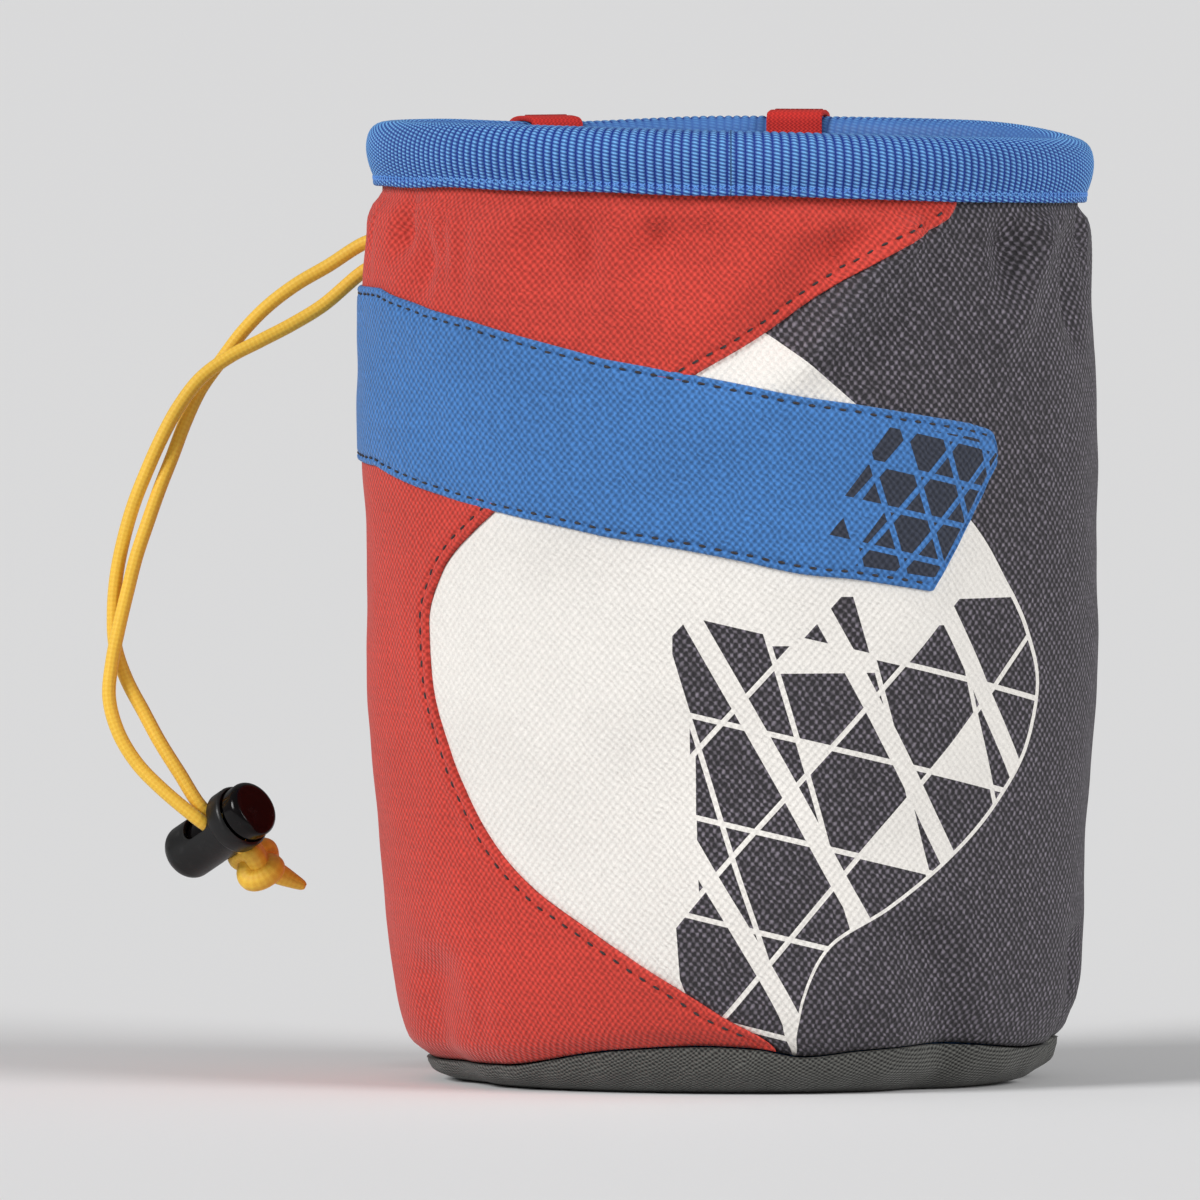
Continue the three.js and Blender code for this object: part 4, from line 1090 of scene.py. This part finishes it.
def build_loop(name, angle, material):
    """Flat webbing with soft edges along the loop's line."""
    line, origin, outward = loop_path(angle)
    tangent = headings(line)
    normal = np.stack([-tangent[:, 1], tangent[:, 0]], -1)
    across = np.array([-outward[1], outward[0], 0.0])
    half, edge = WEBBING_WIDTH / 2, WEBBING / 2
    section = [(-half + 0.05, -0.7), (-half, 0.0), (-half + 0.05, 0.7)]
    section += [(s, 1.0) for s in np.linspace(-half + 0.22, half - 0.22, 9)]
    section += [(half - 0.05, 0.7), (half, 0.0), (half - 0.05, -0.7)]
    section += [(s, -1.0) for s in np.linspace(half - 0.22, -half + 0.22, 9)]
    section = np.array(section)
    points, cloth = [], []
    length = run_length(line)
    for k in range(len(line)):
        for s, t in section:
            out, up = line[k] + normal[k] * t * edge
            points.append(origin * (1, 1, 0) + outward * out + across * s + (0, 0, up))
            cloth.append((s, length[k], t))
    rows = len(section)
    faces = grid_faces(len(line), rows, False).tolist()
    for k in range(len(line) - 1):
        faces.append([k * rows + rows - 1, (k + 1) * rows + rows - 1, (k + 1) * rows, k * rows])
    faces.append(list(range(rows)))
    faces.append(list(range(len(points) - rows, len(points)))[::-1])
    piece = make_piece(name, points, faces, material, [name.replace("webbing", "belt_loop")],
                       layers={"cloth": cloth})
    solid = bmesh.new()
    solid.from_mesh(piece.data)
    write_turned_out(solid, piece.data)
    return line, origin, outward, across, length


WEBBING_MATERIAL = webbing_material()
loops = [build_loop("webbing_" + side, angle, WEBBING_MATERIAL) for side, angle in LOOP_ANGLES.items()]


# Stitches

def thread_material(name, colour):
    shader = Shader(name, 0.6, Sheen_Weight=0.1)
    level = shader.even(shader.noise(6000), 0.8, 1.2)
    return shader.finish(colour, level, None, shader.bump(shader.noise(2500, 1.0), 0.0001))


def sew(name, spots, length, radius, material):
    """A piece of short stitches, each a rounded bar sunk into the cloth at its ends.

    A spot holds a stitch's middle, its direction and the way out of the cloth.
    """
    points, faces = [], []
    turns = np.arange(STITCH_SIDES) * 2 * math.pi / STITCH_SIDES
    for centre, forward, up in spots:
        forward = forward / np.linalg.norm(forward)
        up = up - forward * np.dot(up, forward)
        up /= np.linalg.norm(up)
        side = np.cross(forward, up)
        faces += tube_faces(len(STITCH_STATIONS), STITCH_SIDES, len(points))
        for place, size in STITCH_STATIONS:
            middle = centre + forward * place * length / 2 - up * 0.35 * radius * place**4
            points += [middle + radius * size * (up * math.sin(turn) + side * math.cos(turn) * 1.15)
                       for turn in turns]
    make_piece(name, points, faces, material)


def stitches_on_wall(angles, rises, offset):
    """Evenly spaced stitches along a line given by angles and rises."""
    swell = slack_cloth(smooth_wall(angles, rises))
    line = wall(angles, rises, offset + swell * step((GATHER_TOP - rises) / SLACK_FADE))
    length = run_length(line)
    at = np.arange(STITCH_PITCH / 2, length[-1], STITCH_PITCH)
    centres, ahead, behind = (at_length(at + shift, length, line) for shift in (0, 0.3, -0.3))
    normal_at = outward_at(np.interp(at, length, angles), np.interp(at, length, rises))
    jitter = rng.normal(0, 0.05, len(at))[:, None] * np.array([0, 0, 1.0])
    return centres + jitter, ahead - behind, normal_at


def red_stitch_line():
    rows = np.linspace(0.012, 0.935, 400)
    edge = curve(RED_EDGE, rows)
    factor = np.interp(rows, wall_rises, widening)
    return edge - 1.8 * factor, rows


red_line = stitches_on_wall(*red_stitch_line(), RED_STITCH_LIFT)
fine_angles = np.arange(BAND[0, 0] + 0.5, 43.6, 0.5)
band_low = straight(BAND, fine_angles, 1) + STITCH_INSET / FRONT_HEIGHT
band_high = straight(BAND, fine_angles, 2) - STITCH_INSET / FRONT_HEIGHT
under_end = fine_angles < BAND_CORNER
lines = [red_line,
         stitches_on_wall(fine_angles[under_end], band_low[under_end], BAND_STITCH_LIFT),
         stitches_on_wall(fine_angles, band_high, BAND_STITCH_LIFT)]
sew("topstitching", [spot for line in lines for spot in zip(*line)], 1.2, 0.2,
    thread_material("dark_thread", linear(38, 30, 32)))


def tape_spots():
    """Small crossing stitches that hold the tape's hem."""
    for angle in np.arange(0, 360, 360 / RIBS):
        wander = hem_wander(math.radians(angle))
        height = float(rim_at(angle)) - 9.25 + 0.3 * wander
        rise = rise_at(angle, height)
        out = outward_at(np.float64(angle), rise)
        point = smooth_wall(angle, rise) + out * (1.66 + 0.1 * wander)
        point[2] = height
        across = np.array([-out[1], out[0], 0.0])
        for tilt in (0.55, -0.55):
            yield point, across * 0.7 + (0, 0, tilt), out


sew("tape_stitching", tape_spots(), 1.35, 0.13, thread_material("blue_thread", linear(84, 140, 214)))


def tack_spots():
    """Zigzag tacks that hold the belt loops to the wall."""
    for line, origin, outward, across, length in loops:
        for at in (13.5, length[-1] - 2.4, length[-1] - 5.6):
            k = int(np.argmin(np.abs(length - at)))
            tangent = line[min(k + 1, len(line) - 1)] - line[k - 1]
            tangent /= np.linalg.norm(tangent)
            side = np.array([-tangent[1], tangent[0]])
            side *= -1 if side[0] < 0 else 1
            spot = line[k] + side * (WEBBING / 2 + 0.05)
            along = outward * tangent[0] + (0, 0, tangent[1])
            for n, s in enumerate(np.arange(-3.9, 3.91, 0.42)):
                yield (origin * (1, 1, 0) + outward * spot[0] + across * s + (0, 0, spot[1]),
                       along + across * (0.25 if n % 2 else -0.25),
                       outward * side[0] + (0, 0, side[1]))


RED_THREAD = thread_material("red_thread", linear(150, 30, 28))
sew("bar_tacks", tack_spots(), 1.7, 0.14, RED_THREAD)


def eyelet_spots():
    """Stitched rings round the two cord holes."""
    for route in ROUTES.values():
        inside, outside = (np.array(p) / MM for p in route[:2])
        forward = (outside - inside) / np.linalg.norm(outside - inside)
        side = np.cross(forward, (0, 1.0, 0.0))
        side /= np.linalg.norm(side)
        line = inside + np.linspace(0, 1.2, 200)[:, None] * (outside - inside)
        angle = np.degrees(np.arctan2(line[:, 0], -line[:, 1] * BAG_WIDTH / BAG_DEPTH))
        surface = wall(angle, rise_at(angle, line[:, 2]))
        gap = np.hypot(line[:, 0], line[:, 1]) - np.hypot(surface[:, 0], surface[:, 1])
        middle = line[int(np.argmin(np.abs(gap - 0.15)))]
        for turn in np.arange(30) * 2 * math.pi / 30:
            spoke = side * math.cos(turn) + np.cross(forward, side) * math.sin(turn)
            yield middle + spoke * (CORD / 2 + 0.75), spoke, forward


sew("cord_eyelets", eyelet_spots(), 1.1, 0.2, RED_THREAD)


# Cord lock

def lathe_mesh(outline, sides=72):
    """Turned solid from (radius, height) pairs that start and end on the axis, in metres."""
    solid = bmesh.new()
    rings = []
    for radius, height in outline:
        if radius == 0:
            rings.append([solid.verts.new((0, 0, height * MM))])
        else:
            rings.append([solid.verts.new((radius * MM * math.cos(2 * math.pi * n / sides),
                                           radius * MM * math.sin(2 * math.pi * n / sides), height * MM))
                          for n in range(sides)])
    for low, high in zip(rings, rings[1:]):
        for n in range(sides):
            m = (n + 1) % sides
            if len(low) == 1:
                solid.faces.new([low[0], high[m], high[n]])
            elif len(high) == 1:
                solid.faces.new([low[n], low[m], high[0]])
            else:
                solid.faces.new([low[n], low[m], high[m], high[n]])
    return write_turned_out(solid, bpy.data.meshes.new("turned"))


def slot_mesh(low, high):
    """Rounded slot right across the lock for the two strands."""
    width = STRAND_SPACING + CORD + 2 * LOCK_FIT
    corner = 1.6
    outline = []
    for cx, cz, begin in ((width / 2 - corner, high - corner, 0), (-width / 2 + corner, high - corner, 90),
                          (-width / 2 + corner, low + corner, 180), (width / 2 - corner, low + corner, 270)):
        for n in range(7):
            turn = math.radians(begin + 15 * n)
            outline.append((cx + corner * math.cos(turn), cz + corner * math.sin(turn)))
    solid = bmesh.new()
    reach = 3 * BARREL_RADIUS
    ends = [[solid.verts.new((s * reach * MM, y * MM, z * MM)) for y, z in outline] for s in (-1, 1)]
    for n in range(len(outline)):
        m = (n + 1) % len(outline)
        solid.faces.new([ends[0][n], ends[0][m], ends[1][m], ends[1][n]])
    solid.faces.new(ends[0])
    solid.faces.new(ends[1])
    return write_turned_out(solid, bpy.data.meshes.new("slot"))


def lock_piece(name, outline, slot, material, slot_name, body):
    blank = add_object(name + "_blank", lathe_mesh(outline))
    cutter = add_object(name + "_cutter", slot_mesh(*slot))
    cut = blank.modifiers.new("slot", "BOOLEAN")
    cut.operation = "DIFFERENCE"
    cut.solver = "EXACT"
    cut.object = cutter
    bevel = blank.modifiers.new("edge", "BEVEL")
    bevel.width = EDGE_ROUND * MM
    bevel.segments = 3
    bevel.angle_limit = math.radians(40)
    bpy.context.view_layer.update()
    shaped = blank.evaluated_get(bpy.context.evaluated_depsgraph_get())
    mesh = bpy.data.meshes.new_from_object(shaped)
    mesh.transform(lock_matrix)
    mesh.shade_smooth()
    mesh.set_sharp_from_angle(angle=math.radians(50))
    mesh.materials.clear()
    mesh.materials.append(material)
    piece = add_object(name, mesh)
    for helper in (blank, cutter):
        bpy.data.objects.remove(helper)
    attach(piece, body)
    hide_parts(slot_name)
    return piece


def plastic_material(name, colour, roughness, grain, worn, specular):
    shader = Shader(name, roughness, Specular_IOR_Level=specular)
    pores = shader.noise(2600, 3.0)
    scuffed = shader.span(shader.noise(420, 4.0), 0.56, 0.72)
    tone = shader.mix(scuffed * worn, colour, linear(92, 92, 94))
    rough = shader.even(pores, roughness - 0.04, roughness + 0.06) + scuffed * 0.12
    return shader.finish(tone, 1.0, rough, shader.bump(pores, grain))


bore = BUTTON_RADIUS + LOCK_FIT
head_room = HEAD_RADIUS + LOCK_FIT / 2
seat = HEAD_FOOT - BUTTON_TRAVEL - LOCK_FIT
barrel_outline = [(0, -BARREL_LENGTH)]
for turn in range(8, 91, 8):
    t = math.radians(turn)
    barrel_outline.append((BARREL_RADIUS * math.sin(t), -BARREL_LENGTH + BARREL_NOSE * (1 - math.cos(t))))
barrel_outline += [
    (BARREL_RADIUS, -BARREL_LENGTH + BARREL_NOSE), (BARREL_RADIUS, -8.6), (BARREL_RADIUS, FLANGE_FOOT - 0.7),
    (BARREL_RADIUS + 0.1, FLANGE_FOOT - 0.35), (FLANGE_RADIUS - 0.2, FLANGE_FOOT - 0.15),
    (FLANGE_RADIUS, FLANGE_FOOT + 0.2), (FLANGE_RADIUS, MOUTH_HEIGHT - 0.6),
    (FLANGE_RADIUS - 0.12, MOUTH_HEIGHT - 0.25), (FLANGE_RADIUS - 0.4, MOUTH_HEIGHT),
    (head_room, MOUTH_HEIGHT), (head_room, seat), (bore, seat),
    (bore, -BARREL_LENGTH + BORE_FLOOR), (0, -BARREL_LENGTH + BORE_FLOOR),
]
slot_top = -STRAND_DROP + CORD / 2 + LOCK_FIT
barrel = lock_piece(
    "lock_body", barrel_outline, (slot_top - CORD - LOCK_FIT - SLOT_ROOM, slot_top),
    plastic_material("barrel_plastic", linear(12, 12, 13), 0.36, 0.00002, 0.1, 0.35),
    "lock_barrel", "bag")
button_outline = [
    (0, -PLUNGER_DEPTH), (BUTTON_RADIUS - 0.3, -PLUNGER_DEPTH), (BUTTON_RADIUS, -PLUNGER_DEPTH + 0.3),
    (BUTTON_RADIUS, 0.0), (BUTTON_RADIUS, HEAD_FOOT), (HEAD_RADIUS - 0.3, HEAD_FOOT),
    (HEAD_RADIUS, HEAD_FOOT + 0.3),
]
for turn in range(0, 91, 9):
    t = math.radians(turn)
    button_outline.append((HEAD_RADIUS - HEAD_EDGE * (1 - math.cos(t)),
                           BUTTON_HEIGHT - HEAD_EDGE * (1 - math.sin(t))))
button_outline.append((0, BUTTON_HEIGHT + 0.05))
reach = CORD / 2 + LOCK_FIT
button = lock_piece(
    "lock_plunger", button_outline, (-STRAND_DROP - reach, -STRAND_DROP + reach + BUTTON_TRAVEL),
    plastic_material("button_plastic", linear(6, 4, 5), 0.16, 0.000006, 0.03, 0.2),
    "lock_button", "button")


# Knot: a tight overhand knot with its sealed tail

def keep_off_lock(points):
    """Points pressed flat where they would sink into the lock's barrel or its mouth ring."""
    inverse = np.array(lock_matrix.inverted())
    local = np.asarray(points) * MM @ inverse[:3, :3].T + inverse[:3, 3]
    local /= MM
    away = np.hypot(local[:, 0], local[:, 1])
    near_ring = step((local[:, 2] - FLANGE_FOOT + 1.2) / 0.8)
    least = BARREL_RADIUS + 0.15 + (FLANGE_RADIUS - BARREL_RADIUS) * near_ring
    grow = np.maximum(least / np.maximum(away, 1e-6), 1.0)
    local[:, :2] *= grow[:, None]
    forward = np.array(lock_matrix)
    return (local * MM @ forward[:3, :3].T + forward[:3, 3]) / MM


def build_knot():
    centre = np.array(lock_point(*KNOT_PLACE)) / MM
    tip = np.array(TAIL_END) / MM
    t = np.linspace(0, 2 * math.pi, 260, endpoint=False)
    local = np.stack([KNOT_WIDTH * (np.sin(t) + 2 * np.sin(2 * t)),
                      KNOT_WIDTH * (np.cos(t) - 2 * np.cos(2 * t)), -KNOT_DEPTH * np.sin(3 * t)], -1)
    turn = Matrix.Rotation(0.5, 3, "X") @ Matrix.Rotation(0.6, 3, "Y") @ Matrix.Rotation(0.4, 3, "Z")
    loop = local @ np.array(turn).T + centre + KNOT_SETTLED
    loop = np.concatenate([loop, loop[:2]])
    entry = np.array(lock_point(BARREL_RADIUS + 0.1, 0, -STRAND_DROP)) / MM
    tail = spline([centre, centre * 0.6 + tip * 0.4 + (0.3, 0, -0.3), tip], 0.25)
    taper = np.interp(np.linspace(0, 1, len(tail)), *TAIL_TAPER)
    throat = spline([entry, entry * 0.5 + centre * 0.5, centre], 0.3)
    parts = [tube(loop, np.full(len(loop), KNOT_TUBE), braid_relief),
             tube(tail, taper, braid_relief),
             tube(throat, np.full(len(throat), THROAT_RADIUS), braid_relief)]
    points, faces, cloths = [], [], []
    for shape, shape_faces, shape_cloth in parts:
        start = len(points)
        points += list(keep_off_lock(shape))
        faces += [[start + k for k in face] for face in shape_faces]
        cloths.append(shape_cloth)
    return np.array(points), faces, np.concatenate(cloths)


points, faces, knot_cloth = build_knot()
knot = make_piece("end_knot", points, faces, CORD_MATERIAL, ["cord_knot"],
                  layers={"cloth": knot_cloth})

for name, (piece, line, length) in cords.items():
    tuple(line[0] * MM)
    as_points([tuple(p * MM) for p in line[::8]] + [tuple(line[-1] * MM)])


def surface_area(points):
    """Area of a grid of points in millimetres, in square metres."""
    one = np.cross(points[1:, :-1] - points[:-1, :-1], points[:-1, 1:] - points[:-1, :-1])
    two = np.cross(points[:-1, 1:] - points[1:, 1:], points[1:, :-1] - points[1:, 1:])
    total = np.linalg.norm(one, axis=-1).sum() + np.linalg.norm(two, axis=-1).sum()
    return float(total) / 2 * MM * MM


for name, (piece, grid, width, height, held) in SHEETS.items():
    width * MM
    height * MM
    min(surface_area(grid), width * height * MM * MM)


# Stage and light

def floor_material():
    shader = Shader("floor_paper", 0.9)
    level = shader.even(shader.noise(900), 0.995, 1.005)
    return shader.finish((0.8, 0.8, 0.805, 1.0), level, None, None)


floor_mesh = bpy.data.meshes.new("floor")
floor_mesh.from_pydata([(-30, -30, 0), (30, -30, 0), (30, 30, 0), (-30, 30, 0)], [], [[0, 1, 2, 3]])
floor_mesh.materials.append(floor_material())
floor = add_object("floor", floor_mesh)

world = bpy.data.worlds.new("studio")
bpy.context.scene.world = world
world.use_nodes = True
background = world.node_tree.nodes["Background"]
background.inputs["Color"].default_value = (1.0, 1.0, 1.0, 1.0)
background.inputs["Strength"].default_value = SKY_LIGHT


def sun(name, direction, strength, softness):
    """Even light from far away, coming from the given direction."""
    data = bpy.data.lights.new(name, "SUN")
    data.energy = strength * math.pi
    data.angle = math.radians(softness)
    lamp = add_object(name, data)
    lamp.location = direction
    look_at(lamp, Vector((0, 0, 0)))


sun("key", (-0.88, -0.6, 0.62), 0.75, 24)
sun("fill", (0.92, -0.52, 0.5), 0.6, 30)
bpy.context.scene.view_settings.view_transform = "Standard"
